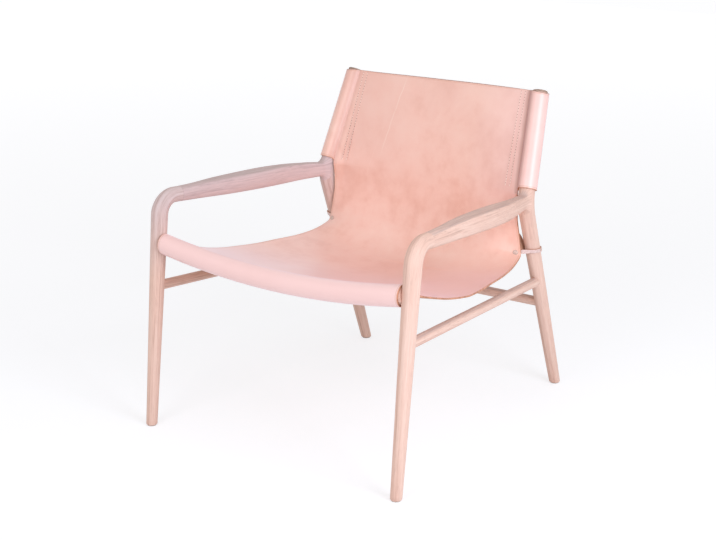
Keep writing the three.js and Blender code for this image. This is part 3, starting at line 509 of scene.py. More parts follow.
legOak = {"right": oak("oakLegs", (0.0, 0.0, 0.0)), "left": oak("oakLegsLeftShaded", (3.1, 1.7, 0.4), shadeFrom=0.34)}
# the third value deepens the pores and turns on the painted grey shade on up-facing tops
armOak = {"right": oak("oakArms", (7.3, 2.2, 1.9), 0.1),
          "left": oak("oakArmsLeftShaded", (4.4, 6.1, 0.7), 0.1, oakLeftShadeLook)}
oakBars = oak("oakBars", (1.2, 8.5, 3.0), 0.15)
endGrainAndShade = oakEnd()
face, flesh, edge = hideFace(), hideFlesh(), hideEdge()
thread = plainLook("linenThread", (252, 232, 222), (236, 206, 194), 0.6, 1800, 0.0003)
# dark discs of painted shade in the stitch holes
holeShade = plainLook("holeShadeDisc", (168, 116, 100), (138, 92, 78), 0.8, 900, 0.0002)
steel = plainLook("satinSteel", (216, 188, 176), (184, 158, 148), 0.45, 600, 0.0001, 0.3)
strapFace = plainLook("strapLeather", (234, 210, 206), (214, 184, 178), 0.5, 260, 0.0003)
dowelOak = plainLook("dowelOak", (232, 200, 188), (206, 172, 160), 0.6, 500, 0.0002)
felt = plainLook("pressedFelt", (206, 198, 190), (176, 166, 158), 0.95, 700, 0.0008)
for nodeName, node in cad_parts.items():  # the dowels inside the arms keep their solids
    if "dowel" in nodeName:
        node.data.materials.clear()
        node.data.materials.append(dowelOak)
print("materials made")


# Frame lines, on the +X side

foot = {"front": vec(330, -377.85, 0), "rear": vec(277, 378.15, 0)}
armCorner = vec(330, -321.55, 513.5)
kink = vec(277, 203.65, 478.7)
postTop = vec(252.8, 297.65, 713.8)
armRear = vec(277, 203.65, 484)
postShown = 2.6  # wood above the sleeves
postCap = ((0.0, -0.6), (0.5, 0.7), (1.8, 1.6), (4.5, 2.3), (9.0, 2.8), (14.0, 3.0))  # inset and rise
legPlan = {
    "startUp": 4.0, "step": 9.0,
    "frontBend": 42.0, "frontBendSteps": 22, "rearBend": 82.0, "rearBendSteps": 28,
    "armStart": 54.0, "headNarrower": 2.0, "headRings": 26, "headEnd": 16.5,
    "level": 2.1, "levelled": 34.0, "chamfer": 1.7, "chamferShare": 1.6 / 14, "chamferRound": 1.02,
}
radii = {"frontFoot": 12.4, "frontHead": 19.0, "rearFoot": 12.6, "kink": 18.2, "postTop": 17.4}
legAlong = {"front": unit(armCorner - foot["front"]), "rear": unit(kink - foot["rear"])}
postAlong = unit(postTop - kink)
postLength = np.linalg.norm(postTop - kink)
postForward = -unit(np.cross(postAlong, xWay))
armAlong = unit(armRear - armCorner)
armStart = armCorner + armAlong * legPlan["armStart"]


def onLeg(which, height):
    top = armCorner if which == "front" else kink
    return mix(foot[which], top, height / top[2])


def frontRadius(height):
    return mix(radii["frontFoot"], radii["frontHead"], min(height / armCorner[2], 1))


def rearRadius(height):
    return mix(radii["rearFoot"], radii["kink"], max(min(height / kink[2], 1), 0) ** 0.75)


def bentStations(start, corner, end, radius, straightStep, bendSteps):
    into, out = unit(corner - start), unit(end - corner)
    angle = math.acos(np.dot(into, out))
    setback = radius * math.tan(angle / 2)
    arcStart, arcEnd = corner - into * setback, corner + out * setback
    toCentre = unit(out - into * np.dot(into, out))
    centre = arcStart + toCentre * radius
    stations = []
    count = max(int(np.linalg.norm(arcStart - start) / straightStep), 2)
    for i in range(count):
        stations.append((mix(start, arcStart, i / count), into))
    for i in range(bendSteps + 1):
        turn = angle * i / bendSteps
        stations.append((centre - toCentre * radius * math.cos(turn) + into * radius * math.sin(turn),
                         into * math.cos(turn) + toCentre * math.sin(turn)))
    count = max(int(np.linalg.norm(end - arcEnd) / straightStep), 2)
    for i in range(1, count + 1):
        stations.append((mix(arcEnd, end, i / count), out))
    return stations


def sectionFrame(along):  # two directions square to a line
    start = yWay if abs(along[0]) > 0.9 else xWay
    side = unit(start - along * np.dot(start, along))
    return side, np.cross(along, side)


def ringAt(at, along, radius, sides=48):
    side, up = sectionFrame(along)
    turns = roundTurns(sides)
    offsets = np.outer(np.cos(turns), side) + np.outer(np.sin(turns), up)
    return at + radius * offsets, np.stack([radius * np.cos(turns), radius * np.sin(turns)], axis=1)


class Stick:  # rings along a stick, each with its place in the grain
    def __init__(self):
        self.rings, self.flats, self.runs = [], [], []

    def add(self, ring, flat, run):
        self.rings.append(ring)
        self.flats.append(flat)
        self.runs.append(run)

    def loft(self, name, materials, capSlots=(0, 0), endBands=0, sharp=40):
        count, last = len(self.rings[0]), len(self.rings) - 1
        grain = [np.column_stack([flat, np.full(count, run)]) for flat, run in zip(self.flats, self.runs)]
        faces, slots = [], []
        for r in range(last):
            for i in range(count):
                j = (i + 1) % count
                faces.append((r * count + i, r * count + j, (r + 1) * count + j, (r + 1) * count + i))
                slots.append(capSlots[1] if r >= last - endBands else 0)
        faces.append(tuple(range(count))[::-1])
        faces.append(tuple(last * count + i for i in range(count)))
        slots += list(capSlots)
        points = np.concatenate(self.rings)
        return newMesh(name, points, faces, materials, slots, np.concatenate(grain), sharp)


def swollen(ring, share):
    centre = ring.mean(axis=0)
    return centre + (ring - centre) * share


def bothSides(name, maker, slot, nodeName=None):  # the piece and its mirror image
    made = []
    for side in ("right", "left"):
        piece = maker(f"{name}_{side}", side)
        if side == "left":
            mesh = piece.data
            co = np.empty(len(mesh.vertices) * 3)
            mesh.vertices.foreach_get("co", co)
            co[0::3] *= -1
            mesh.vertices.foreach_set("co", co)
            mesh.flip_normals()
            mesh.update()
        nodes = [f"{nodeName}_{side}"] if nodeName else []
        made.append(finishPiece(piece, slot, *nodes))
    return made


def legStick(which, stations, sizes):  # rings up a leg; the first turn level and end in a small chamfer
    stick = Stick()
    runs = runAlong(np.array([at for at, along in stations]))
    for (at, along), size, run in zip(stations, sizes, runs):
        stick.add(*ringAt(at, along, size), run)
    rings, way, level = stick.rings, legAlong[which], legPlan["level"]
    for k in range(len(rings)):
        height = rings[k].mean(axis=0)[2]
        share = 1 - ease((height - level) / legPlan["levelled"])
        if share > 0:
            flat = rings[k] + np.outer((height - rings[k][:, 2]) / way[2], way)
            rings[k] = mix(rings[k], flat, share)
    rings[0] = rings[0] + np.outer((level + legPlan["chamfer"] - rings[0][:, 2]) / way[2], way)
    lower = swollen(rings[0] + way * (-legPlan["chamfer"] / way[2]), 1 - legPlan["chamferShare"])
    halfway = swollen(mix(rings[0], lower, 0.5), legPlan["chamferRound"])
    stick.rings = [lower, halfway] + rings
    stick.flats = [stick.flats[0]] * 2 + stick.flats
    stick.runs = [-3, -2] + stick.runs
    return stick


def frontLeg(name, side):
    stations = bentStations(foot["front"] + legAlong["front"] * legPlan["startUp"], armCorner, armStart,
                            legPlan["frontBend"], legPlan["step"], legPlan["frontBendSteps"])
    sizes = []
    for k, (at, along) in enumerate(stations):
        left = len(stations) - 1 - k
        sizes.append(frontRadius(at[2]) - legPlan["headNarrower"] * ease(1 - left / legPlan["headRings"]))
    stick = legStick("front", stations, sizes)
    at, along = stations[-1]
    stick.rings[-1] = stick.rings[-1] - along * 0.5
    stick.add(*ringAt(at - along * 0.1, along, legPlan["headEnd"]), stick.runs[-1])
    return stick.loft(name, [legOak[side]])


rearStations = bentStations(foot["rear"] + legAlong["rear"] * legPlan["startUp"], kink, postTop,
                            legPlan["rearBend"], legPlan["step"], legPlan["rearBendSteps"])


def rearStationRadius(at):
    rise = (at[2] - kink[2]) / (postTop[2] - kink[2])
    return mix(radii["kink"], radii["postTop"], rise) if rise > 0 else rearRadius(at[2])


stationPoints = np.array([at for at, along in rearStations])
stationRadii = np.array([rearStationRadius(at) for at in stationPoints])


def rearLeg(name, side):
    stick = legStick("rear", rearStations, stationRadii)
    at, along = rearStations[-1]
    run = stick.runs[-1]
    stick.rings[-1] = stick.rings[-1] - along * (postShown + 1)
    stick.add(*ringAt(at - along * (postShown + 0.8), along, radii["postTop"]), run)
    for inset, higher in postCap:
        stick.add(*ringAt(at + along * higher, along, radii["postTop"] - inset), run)
    # the bands above the sleeves take the end grain's dark look, as painted shade on the posts' rims
    return stick.loft(name, [legOak[side], endGrainAndShade], (0, 1), len(postCap))


bothSides("front_leg", frontLeg, "oak", "leg_front")
bothSides("rear_leg", rearLeg, "oak", "leg_rear")
print("legs made")

armPlan = {  # rows of share along the arm and value, and the section's corners as shares of its half sizes
    "halfWidth": 20.5, "halfDepth": 21.8, "bowDeep": 10.0,
    "width": [(0, 0.83), (0.1, 0.79), (0.19, 0.76), (0.34, 0.93), (0.52, 1), (0.64, 0.88), (0.78, 0.68),
              (0.9, 0.6), (1, 0.64)],
    "depth": [(0, 0.78), (0.1, 0.83), (0.29, 0.92), (0.53, 0.99), (0.64, 1), (0.75, 0.97), (0.85, 0.88),
              (1, 0.8)],
    "bow": [(0, 0), (0.15, 0.2), (0.31, 0.25), (0.49, 0.6), (0.63, 0.9), (0.77, 1), (0.9, 0.45), (1, 0)],
    "flat": [(0, 0), (0.08, 0.3), (0.25, 1), (0.85, 1), (1, 0.6)],
    "section": [(1, 0), (1.02, 0.45), (1.0, 0.78), (0.96, 0.93), (0.86, 1), (0.3, 1), (-0.35, 0.99),
                (-0.8, 0.93), (-0.97, 0.62), (-1, 0.1), (-0.9, -0.42), (-0.68, -0.8), (-0.38, -0.97),
                (0.05, -1), (0.48, -0.95), (0.8, -0.75), (0.96, -0.4)],
    "topFillet": 16.0, "outerFillet": 4.5, "innerFillet": 10.0, "underFillet": 11.0,
    "rings": 62, "lastShare": 0.9, "filletRings": 12, "onPost": 0.93, "into": 1.5,
    "search": (-30.0, 60.0, 3.0), "missed": 45.0,  # first, last and step; reach without a hit
}


def armSection(count=72):  # the section's outline, read evenly by angle
    corners = [np.array(p, float) for p in armPlan["section"]]
    loop = Curve([np.append(p, 0) for p in corners + [corners[0], corners[1]]])
    dense = loop.line[:, :2]
    angles = np.unwrap(np.arctan2(dense[:, 1], dense[:, 0]))
    return np.stack([np.interp(roundTurns(count), angles, dense[:, k]) for k in range(2)], axis=1)


armOutline = armSection()


def armRing(share):
    centre = mix(armStart, armRear, share)
    centre = centre + xWay * armPlan["bowDeep"] * fromTable(armPlan["bow"], share)
    halfWidth = armPlan["halfWidth"] * fromTable(armPlan["width"], share)
    halfDepth = armPlan["halfDepth"] * fromTable(armPlan["depth"], share)
    flat = fromTable(armPlan["flat"], share)
    side = unit(xWay - armAlong * np.dot(xWay, armAlong))
    up = unit(np.cross(side, armAlong))
    turns = roundTurns(len(armOutline))
    across = halfWidth * mix(np.cos(turns), armOutline[:, 0], flat)
    high = halfDepth * mix(np.sin(turns), armOutline[:, 1], flat)
    return centre + np.outer(across, side) + np.outer(high, up), np.stack([across, high], axis=1), side, up


def toPost(point):  # distance from a point to the rear leg's surface
    a, b = stationPoints[:-1], stationPoints[1:]
    run = b - a
    t = np.clip(((point - a) * run).sum(axis=1) / (run * run).sum(axis=1), 0, 1)
    near = a + run * t[:, None]
    gap = np.linalg.norm(point - near, axis=1)
    k = int(np.argmin(gap))
    return gap[k] - mix(stationRadii[k], stationRadii[k + 1], t[k])


def keepOnPost(point):  # a point moved sideways until the post stands behind it
    middle = np.interp(point[2], stationPoints[:, 2], stationPoints[:, 0])
    most = armPlan["onPost"] * np.interp(point[2], stationPoints[:, 2], stationRadii)
    return vec(min(max(point[0], middle - most), middle + most), point[1], point[2])


def reachPost(point):  # how far along the arm's line the surface lies
    def inside(reach):
        return toPost(point + armAlong * reach) < 0

    first, last, step = armPlan["search"]
    for probe in np.arange(first, last, step):
        if inside(probe):
            return halved(probe - step, probe, 18, inside)
    return armPlan["missed"]


def arm(name, side):
    length = np.linalg.norm(armRear - armStart)
    stick = Stick()
    ring, flat = armRing(0)[:2]
    stick.add(swollen(ring, 0.97) + armAlong * 0.1, flat, 0)
    for share in np.concatenate(([0.0013], np.linspace(0.01, armPlan["lastShare"], armPlan["rings"]))):
        ring, flat = armRing(share)[:2]
        stick.add(ring, flat, share * length)
    base, flat, sideWay, up = armRing(1.0)
    turns = roundTurns(len(base))
    lift = np.sin(turns)
    beside = mix(armPlan["innerFillet"], armPlan["outerFillet"], (np.cos(turns) + 1) / 2)
    fillet = np.where(lift > 0, mix(beside, armPlan["topFillet"], np.maximum(lift, 0) ** 1.5),
                      mix(beside, armPlan["underFillet"], np.maximum(-lift, 0) ** 1.5))
    for bend in np.linspace(0, math.pi / 2, armPlan["filletRings"]):
        ring = []
        for j in range(len(base)):
            outward = unit(math.cos(turns[j]) * sideWay + math.sin(turns[j]) * up)
            lifted = keepOnPost(base[j] + outward * fillet[j] * (1 - math.cos(bend)))
            ring.append(lifted + armAlong * (reachPost(lifted) - fillet[j] * (1 - math.sin(bend))))
        stick.add(np.array(ring), flat, length * 0.97)
    stick.add(stick.rings[-1] + armAlong * armPlan["into"], flat, length * 0.98)
    return stick.loft(name, [armOak[side]], sharp=35)


bothSides("shaped_arm", arm, "oak", "arm")
print("arms made")

railPlan = {
    "endHeight": 413.2, "bow": 27.5, "forward": 0.7, "radius": 18.0, "halfSpan": 316.0, "bowSpan": 312.5,
    "rings": 60, "sides": 48,
}
railPlan["y"] = onLeg("front", railPlan["endHeight"])[1] - railPlan["forward"]


def railLine(x):
    drop = railPlan["bow"] * (1 - (x / railPlan["bowSpan"]) ** 2)
    return vec(x, railPlan["y"], railPlan["endHeight"] - drop)


def rail():
    stick = Stick()
    turns = roundTurns(railPlan["sides"])
    circle = railPlan["radius"] * np.stack([np.cos(turns), np.sin(turns)], axis=1)
    for x in np.linspace(-railPlan["halfSpan"], railPlan["halfSpan"], railPlan["rings"]):
        along = unit(vec(1, 0, 2 * railPlan["bow"] * x / railPlan["bowSpan"] ** 2))
        ways = np.stack([yWay, np.cross(along, yWay)])
        stick.add(railLine(x) + circle @ ways, circle, x)
    return stick.loft("front_rail", [oakBars])


finishPiece(rail(), "oak", "rail_front")


def bar(name, start, end, radius, material):
    along = unit(end - start)
    length = np.linalg.norm(end - start)
    stick = Stick()
    for share in np.linspace(0, 1, stretcherPlan["rings"]):
        ring, flat = ringAt(mix(start, end, share), along, radius, stretcherPlan["sides"])
        stick.add(ring, flat + stretcherPlan["grainAside"] * radius, length * share)
    return stick.loft(name, [material])


stretcherPlan = {
    "front": 317.0, "rear": 282.0, "cross": 224.0, "radius": 11.0,
    "rings": 25, "sides": 40, "grainAside": 20,
}


def sideStretcher(name, side):
    start, end = onLeg("front", stretcherPlan["front"]), onLeg("rear", stretcherPlan["rear"])
    return bar(name, start, end, stretcherPlan["radius"], oakBars if side == "right" else legOak["left"])


bothSides("side_stretcher", sideStretcher, "oak", "stretcher")
crossEnd = onLeg("rear", stretcherPlan["cross"])
rearBar = bar("rear_stretcher", crossEnd * flipX, crossEnd, stretcherPlan["radius"], oakBars)
finishPiece(rearBar, "oak", "stretcher_rear")
print("rail and stretchers made")


# The hide: hem round the rail, seat, back and a sleeve round each post

hide = {  # lengths are in millimetres, and lists are rows of share and value
    "thick": 3.6, "columns": 96, "seatRows": 128, "backRows": 40, "spread": 0.82, "firstShare": 0.02,
    "hemHalf": 312.5, "hemSlack": 1.4, "webStart": 32.0, "flapEnd": 62.0, "webSlope": 0.3, "hemEased": 2.6,
    "seatHalf": 317.0, "cornerHalf": 267.0, "waistHalf": 253.5, "cornerHeight": 356.0,
    "cornerForward": 40.0, "edgeSag": 38.5, "edgeBulge": 3.0, "middleSag": 42.0, "middleBulge": 10.0,
    "rearDrop": 23.0, "rearBack": 1.0,
    "waistBack": 26.0, "panelForward": 6.2, "panelBack": 10.0, "panelHollow": 11.6, "panelBend": 0.42,
    "cornerShare": 0.765, "taperStart": 0.38, "waistReach": 0.5, "joinFrom": 0.94,
    "flatten": 0.5, "flattenFrom": 0.72, "curl": 0.6, "curlRise": (0.7, 0.77), "curlFall": (0.8, 0.93),
    "seatSag": [(0.12, 0.3), (0.285, 0.8), (0.42, 0.98), (0.55, 0.99), (0.68, 0.88), (0.8, 0.77),
                (0.9, 0.55), (0.96, 0.29)],
    "backBulge": [(0.07, 0.6), (0.2, 1), (0.42, 1), (0.65, 0.7), (0.85, 0.4)],
    "middleSagAt": [(0.13, 0.25), (0.3, 0.62), (0.5, 0.93), (0.68, 1), (0.84, 0.72), (0.93, 0.42)],
    "middleRise": [(0.07, 0.5), (0.2, 0.95), (0.42, 0.9), (0.65, 0.5), (0.85, 0.15)],
    "seatWidth": [(0, 0), (0.07, 0.1), (0.22, 0.8), (0.38, 1), (1, 1)],
    "hemEase": (12, 9), "waistEase": (14, 12), "waistWide": (52, 44),  # rows on each side, softness
    # Depth of the waves, how close they lie, rows before, into and out of them, and where they turn upright
    "wave": 1.6, "waveSize": (2.2, 5.5, 3.1), "waveRows": (6, 20, 14), "waveTurn": 50, "waveSide": 0.3,
    "flatHalf": 253.0, "nearLegs": (300, 340, 450),
}
sleevePlan = {  # pairs go from the sleeve's bottom to its top; rimShift has degrees round the post
    "start": 32.0, "end": 58.0, "columns": 46, "notch": 16.0, "notchWide": 15.0, "notchColumns": 9,
    "notchRows": (0.0, 0.14, 0.29, 0.45, 0.63, 0.81, 1.0),
    "tube": (20.3, 19.6), "valley": (2.6, 3.2), "valleyAt": 22.6, "layer": (5.6, 7.4), "layerGap": 0.2,
    "valleySteps": 6, "tubeSteps": 60, "leanOver": 250.0, "topLift": (0.9, 2.6, 1.2),
    "rimShift": [(0, 3.5), (20, 3.5), (65, 1.0), (109, -2.2), (154, -2.8), (199, -0.7), (250, 0),
                 (330, 0.5), (360, 3.5)],
    "rimStart": 6.0, "follow": 14.0, "flapFollow": (42.0, 10.0),
}
panelEnd = postLength - postShown
webDown = unit(vec(0, 1, -hide["webSlope"]))
webUp = np.cross(xWay, webDown)
railEnd = vec(0, railPlan["y"], railPlan["endHeight"])
railMiddle = railEnd - zWay * railPlan["bow"]
cornerPoint = vec(0, onLeg("rear", hide["cornerHeight"])[1] - hide["cornerForward"], hide["cornerHeight"])
inwardWay = unit(-xWay + postAlong * np.dot(xWay, postAlong))
forwardWay = np.cross(postAlong, inwardWay)


def besidePost(along, forward):
    point = kink + postAlong * along + postForward * forward
    point[0] = 0
    return point


panelStart = besidePost(sleevePlan["start"], hide["panelForward"])
panelTop = besidePost(panelEnd, hide["panelForward"])
waistMiddle = panelStart + yWay * hide["waistBack"]


def sleeveShare(along):
    return (along - sleevePlan["start"]) / (panelEnd - sleevePlan["start"])


def panelMiddle(along):  # the back's middle, a slow bend from waist to top edge
    top = panelTop + yWay * hide["panelBack"]
    bend = mix(waistMiddle, top, hide["panelBend"])
    bend = bend - yWay * hide["panelHollow"]
    t = sleeveShare(along)
    return (1 - t) ** 2 * waistMiddle + 2 * t * (1 - t) * bend + t * t * top


def onSleeve(name, along):  # a value that changes from the sleeve's bottom to its top
    return mix(*sleevePlan[name], min(max(sleeveShare(along), 0), 1))


def webWays(along):  # ways along and out of the sewn web, which leans back with the panel
    sag = np.dot(panelMiddle(along) - besidePost(along, onSleeve("layer", along)), -postForward)
    lean = math.atan(max(sag, 0) / sleevePlan["leanOver"])
    return np.array((math.cos(lean), -math.sin(lean))), np.array((math.sin(lean), math.cos(lean)))


def sleeveOutline(along):  # the leather's path round a post, inward and forward of the post's line
    down, out = webWays(along)
    tube, valley = onSleeve("tube", along), onSleeve("valley", along)
    anchor = np.array((sleevePlan["valleyAt"], onSleeve("layer", along)))

    def turnIn(base):  # the middle of the valley's small circle, which touches the web's line and the tube
        t = halved(-18.0, 30.0, 39, lambda reach: np.linalg.norm(base + down * reach) > tube + valley)
        return base + down * t

    front = turnIn(anchor + out * valley)
    backAnchor = anchor - out * (hide["thick"] + sleevePlan["layerGap"])
    rear = turnIn(backAnchor - out * valley)
    valleyShares = np.arange(sleevePlan["valleySteps"] + 1) / sleevePlan["valleySteps"]
    start = wayAngle(-out)
    turn = shorterTurn(start, wayAngle(-front))
    path = arc(front, valley, start + turn * valleyShares)
    first = wayAngle(front)
    sweep = (wayAngle(rear) - first) % (2 * math.pi)
    path += arc(0.0, tube, first + sweep * np.arange(1, sleevePlan["tubeSteps"]) / sleevePlan["tubeSteps"])
    start = wayAngle(-rear)
    turn = shorterTurn(start, wayAngle(out))
    path += arc(rear, valley, start + turn * valleyShares)
    path.append(backAnchor + down * (sleevePlan["end"] - sleevePlan["valleyAt"]))
    return np.array(path)


def postPoint(along, offset):
    return kink + postAlong * along + inwardWay * offset[0] + forwardWay * offset[1]


def bowed(start, end, table, way, depth):
    return [mix(start, end, share) + way * bow * depth for share, bow in table]


notchFoot = sleevePlan["start"] - sleevePlan["notch"]


def panelEdge(along):
    return postPoint(along, sleeveOutline(along)[0])


edgeEnd = panelEdge(notchFoot)
edgeEnd[0] = 0
seatEdge = bowed(railEnd, cornerPoint, hide["seatSag"], -zWay, hide["edgeSag"])
backEdge = bowed(cornerPoint, panelStart, hide["backBulge"], yWay, hide["edgeBulge"])
hemEnd = webDown * hide["flapEnd"]
edgeLine = Curve([railEnd + hemEnd] + seatEdge[1:] + [cornerPoint] + backEdge + [edgeEnd])
rearMiddle = cornerPoint - zWay * hide["rearDrop"] + yWay * hide["rearBack"]
seatMiddle = bowed(railMiddle, rearMiddle, hide["middleSagAt"], -zWay, hide["middleSag"])
backMiddle = bowed(rearMiddle, waistMiddle, hide["middleRise"], yWay, hide["middleBulge"])
middleLine = Curve([railMiddle + hemEnd] + seatMiddle[1:] + [rearMiddle] + backMiddle
                   + [panelMiddle(notchFoot)])
# The plan's shares run on to the sleeve's foot
shareScale = edgeLine.length / (edgeLine.length + sleevePlan["notch"])


def lowerHalf(share):
    join = eased(share, hide["joinFrom"], 1)
    share *= shareScale
    corner = hide["cornerShare"]
    if share < corner:
        onSeat = share / corner
        tapered = max(onSeat - hide["taperStart"], 0) / (1 - hide["taperStart"])
        straight = mix(hide["seatHalf"], hide["cornerHalf"], tapered)
        return mix(hide["hemHalf"], straight, fromTable(hide["seatWidth"], onSeat))
    rise = (share - corner) / (1 - corner)
    waist = mix(hide["cornerHalf"], hide["waistHalf"], min(rise / hide["waistReach"], 1))
    return mix(waist, panelEdge(notchFoot)[0], join)


def smoothed(line, spacing, sigma):  # a path read evenly, with its corners eased
    line = np.asarray(line, float)
    run = runAlong(line)
    count = int(run[-1] / spacing) + 1
    places = np.linspace(0, run[-1], count)
    even = np.stack([np.interp(places, run, line[:, k]) for k in range(line.shape[1])], axis=1)
    step = run[-1] / (count - 1)
    width = int(3 * sigma / step) + 1
    kernel = np.exp(-0.5 * (np.arange(-width, width + 1) * step / sigma) ** 2)
    kernel /= kernel.sum()
    padded = np.concatenate([2 * even[0] - even[width:0:-1], even, 2 * even[-1] - even[-2:-width - 2:-1]])
    return np.stack([np.convolve(padded[:, k], kernel, "valid") for k in range(line.shape[1])], axis=1)


def hemPath():  # from the flap's end under the seat, round the rail, to the web's top layer
    layer = (hide["thick"] + 0.3) / 2
    deep = railPlan["radius"] + 0.3 + hide["thick"] / 2
    high = deep + hide["hemSlack"]
    touch = math.acos((railPlan["radius"] + hide["thick"]) / hide["webStart"])
    sweep = 2 * (math.pi - touch)
    slope = math.atan(hide["webSlope"])
    path = [railEnd + webDown * reach - webUp * layer for reach in (hide["flapEnd"], hide["webStart"])]
    for share in np.linspace(0, 1, 61):
        a = -slope - touch - sweep * share
        path.append(railEnd + vec(0, deep * math.cos(a), high * math.sin(a)))
    path += [railEnd + webDown * (hide["webStart"] + reach) + webUp * layer for reach in (0, 6)]
    return smoothed(path, hide["hemEased"], hide["hemEased"])


def hollow(across, flatter):
    return (1 - across**2) * (1 - flatter * across**2)


def rowHollow(share, across):  # how deep a row hangs between its side edges
    share *= shareScale
    curl = eased(share, *hide["curlRise"]) * (1 - eased(share, *hide["curlFall"]))
    flatter = hide["flatten"] * eased(share, hide["flattenFrom"], 1) - hide["curl"] * curl
    return hollow(across, flatter)


def topLift(along, across):  # the top edge is a little higher beside the posts
    middle, side, tilt = sleevePlan["topLift"]
    share = max(sleeveShare(along), 0)
    return share * share * (middle + side * np.abs(across) ** 1.3 + tilt * across * (1 - across**4))


def hideGrid():
    spread = math.pi / 2 * hide["spread"]
    across = np.sin(np.linspace(-1, 1, hide["columns"] + 1) * spread) / math.sin(spread)
    rows = []
    for at in hemPath():
        row = np.tile(at, (len(across), 1))
        row[:, 2] -= railPlan["bow"] * (1 - across**2)
        row[:, 0] = hide["hemHalf"] * across
        rows.append(row)
    hemRows = len(rows)
    for share in np.linspace(hide["firstShare"], 1, hide["seatRows"]):
        a, b = edgeLine.at(share), middleLine.at(share)
        row = a + np.outer(rowHollow(share, across), b - a)
        row[:, 0] = lowerHalf(share) * across
        rows.append(row)
    alongs = np.concatenate((notchFoot + sleevePlan["notch"] * np.array(sleevePlan["notchRows"]),
                             np.linspace(sleevePlan["start"], panelEnd, hide["backRows"])[1:]))
    for along in alongs[1:]:
        a, b = panelEdge(along), panelMiddle(along)
        half = a[0]
        a = a * (0, 1, 1)
        row = a + np.outer(hollow(across, hide["flatten"]), b - a)
        row[:, 0] = half * across
        rows.append(row + np.outer(topLift(along, across), postAlong * (0, 1, 1)))
    return np.array(rows), across, hemRows, alongs


def easeRows(grid, middle, reach, sigma):  # rows near a fold are eased along the hide
    out = grid.copy()
    first, last = middle - reach, min(middle + reach, len(grid) - 1)
    for r in range(first, last + 1):
        span = np.arange(max(r - reach, 0), min(r + reach, len(grid) - 1) + 1)
        gaps = np.linalg.norm(grid[span] - grid[r], axis=2).mean(axis=1)
        weights = np.exp(-0.5 * (gaps / sigma) ** 2)
        weights /= weights.sum()
        mean = np.tensordot(weights, grid[span], axes=(0, 0))
        share = ease(2 * (1 - abs(r - middle) / reach))
        if r + 1 < len(grid):
            out[r] = mix(grid[r], mean, share)
    return out


grid, across, hemRows, alongs = hideGrid()
waistRow = len(grid) - len(alongs)
grid = easeRows(grid, hemRows, *hide["hemEase"])
shaped = easeRows(grid, waistRow, *hide["waistEase"])
wide = shaped
for _ in range(2):
    wide = easeRows(wide, waistRow, *hide["waistWide"])
shaped = mix(shaped, wide, (1 - across**6)[None, :, None])
moved = shaped - grid
grid = shaped
print("hide rows", grid.shape)


def waved(rows):  # slow, slight unevenness of a heavy hide, none at its edges
    out = rows.copy()
    runs = np.linspace(0, 1, len(rows))
    acrossSize, alongSize, level = hide["waveSize"]
    start, swell, fade = hide["waveRows"]
    for r in range(len(rows)):
        calmRow = ease((r - hemRows - start) / swell) * ease((len(rows) - 1 - r) / fade)
        axis = 2 if r < waistRow - hide["waveTurn"] else 1
        for c in range(len(across)):
            here = Vector((across[c] * acrossSize, runs[r] * alongSize, level))
            calm = ease((1 - abs(across[c])) / hide["waveSide"]) * calmRow
            out[r, c, axis] += hide["wave"] * calm * noise.noise(here)
    return out


grid = waved(grid)


def sleeveGrid():  # columns past the back's side edge, round the post and back behind
    outlines = [sleeveOutline(along) for along in alongs]
    outlineRuns = [runAlong(outline) for outline in outlines]
    length = outlineRuns[0][-1]
    wide = sleevePlan["notchWide"]
    steps = np.concatenate((np.linspace(0, wide, sleevePlan["notchColumns"]),
                            np.linspace(wide, length, sleevePlan["columns"])[1:])) / length
    result = []
    for w in steps:
        here = w * length
        dip = sleevePlan["notch"] * (1 - math.sqrt(1 - max(1 - here / wide, 0) ** 2))
        start = sleevePlan["start"] - dip
        away = ease(here / sleevePlan["rimStart"])
        column = []
        for along, outline, run in zip(alongs, outlines, outlineRuns):
            mapped = start + (along - alongs[0]) * (panelEnd - start) / (panelEnd - alongs[0])
            offset = np.array([np.interp(w * run[-1], run, outline[:, k]) for k in range(2)])
            around = math.degrees(wayAngle(offset)) % 360
            mapped += fromTable(sleevePlan["rimShift"], around) * max(sleeveShare(along), 0) ** 3 * away
            mapped += float(topLift(along, np.array(1.0))) * (1 - away)
            column.append(postPoint(mapped, offset))
        result.append(column)
    return np.array(result), steps * length


sleeve, sleeveRun = sleeveGrid()
flapWide, flapSoft = sleevePlan["flapFollow"]
for j in range(len(alongs)):  # the sleeve moves along with the eased panel beside and behind it
    row, shift = grid[waistRow + j], moved[waistRow + j]
    for w in range(len(sleeve)):
        under = np.array([np.interp(sleeve[w, j, 0], row[:, 0], shift[:, k]) for k in range(3)])
        behind = ease((sleeveRun[w] - sleeveRun[-1] + flapWide) / flapSoft)
        beside = math.exp(-sleeveRun[w] / sleevePlan["follow"])
        sleeve[w, j] += shift[-1] * beside + under * behind
    row[-1] = sleeve[0, j]
    row[0] = sleeve[0, j] * flipX


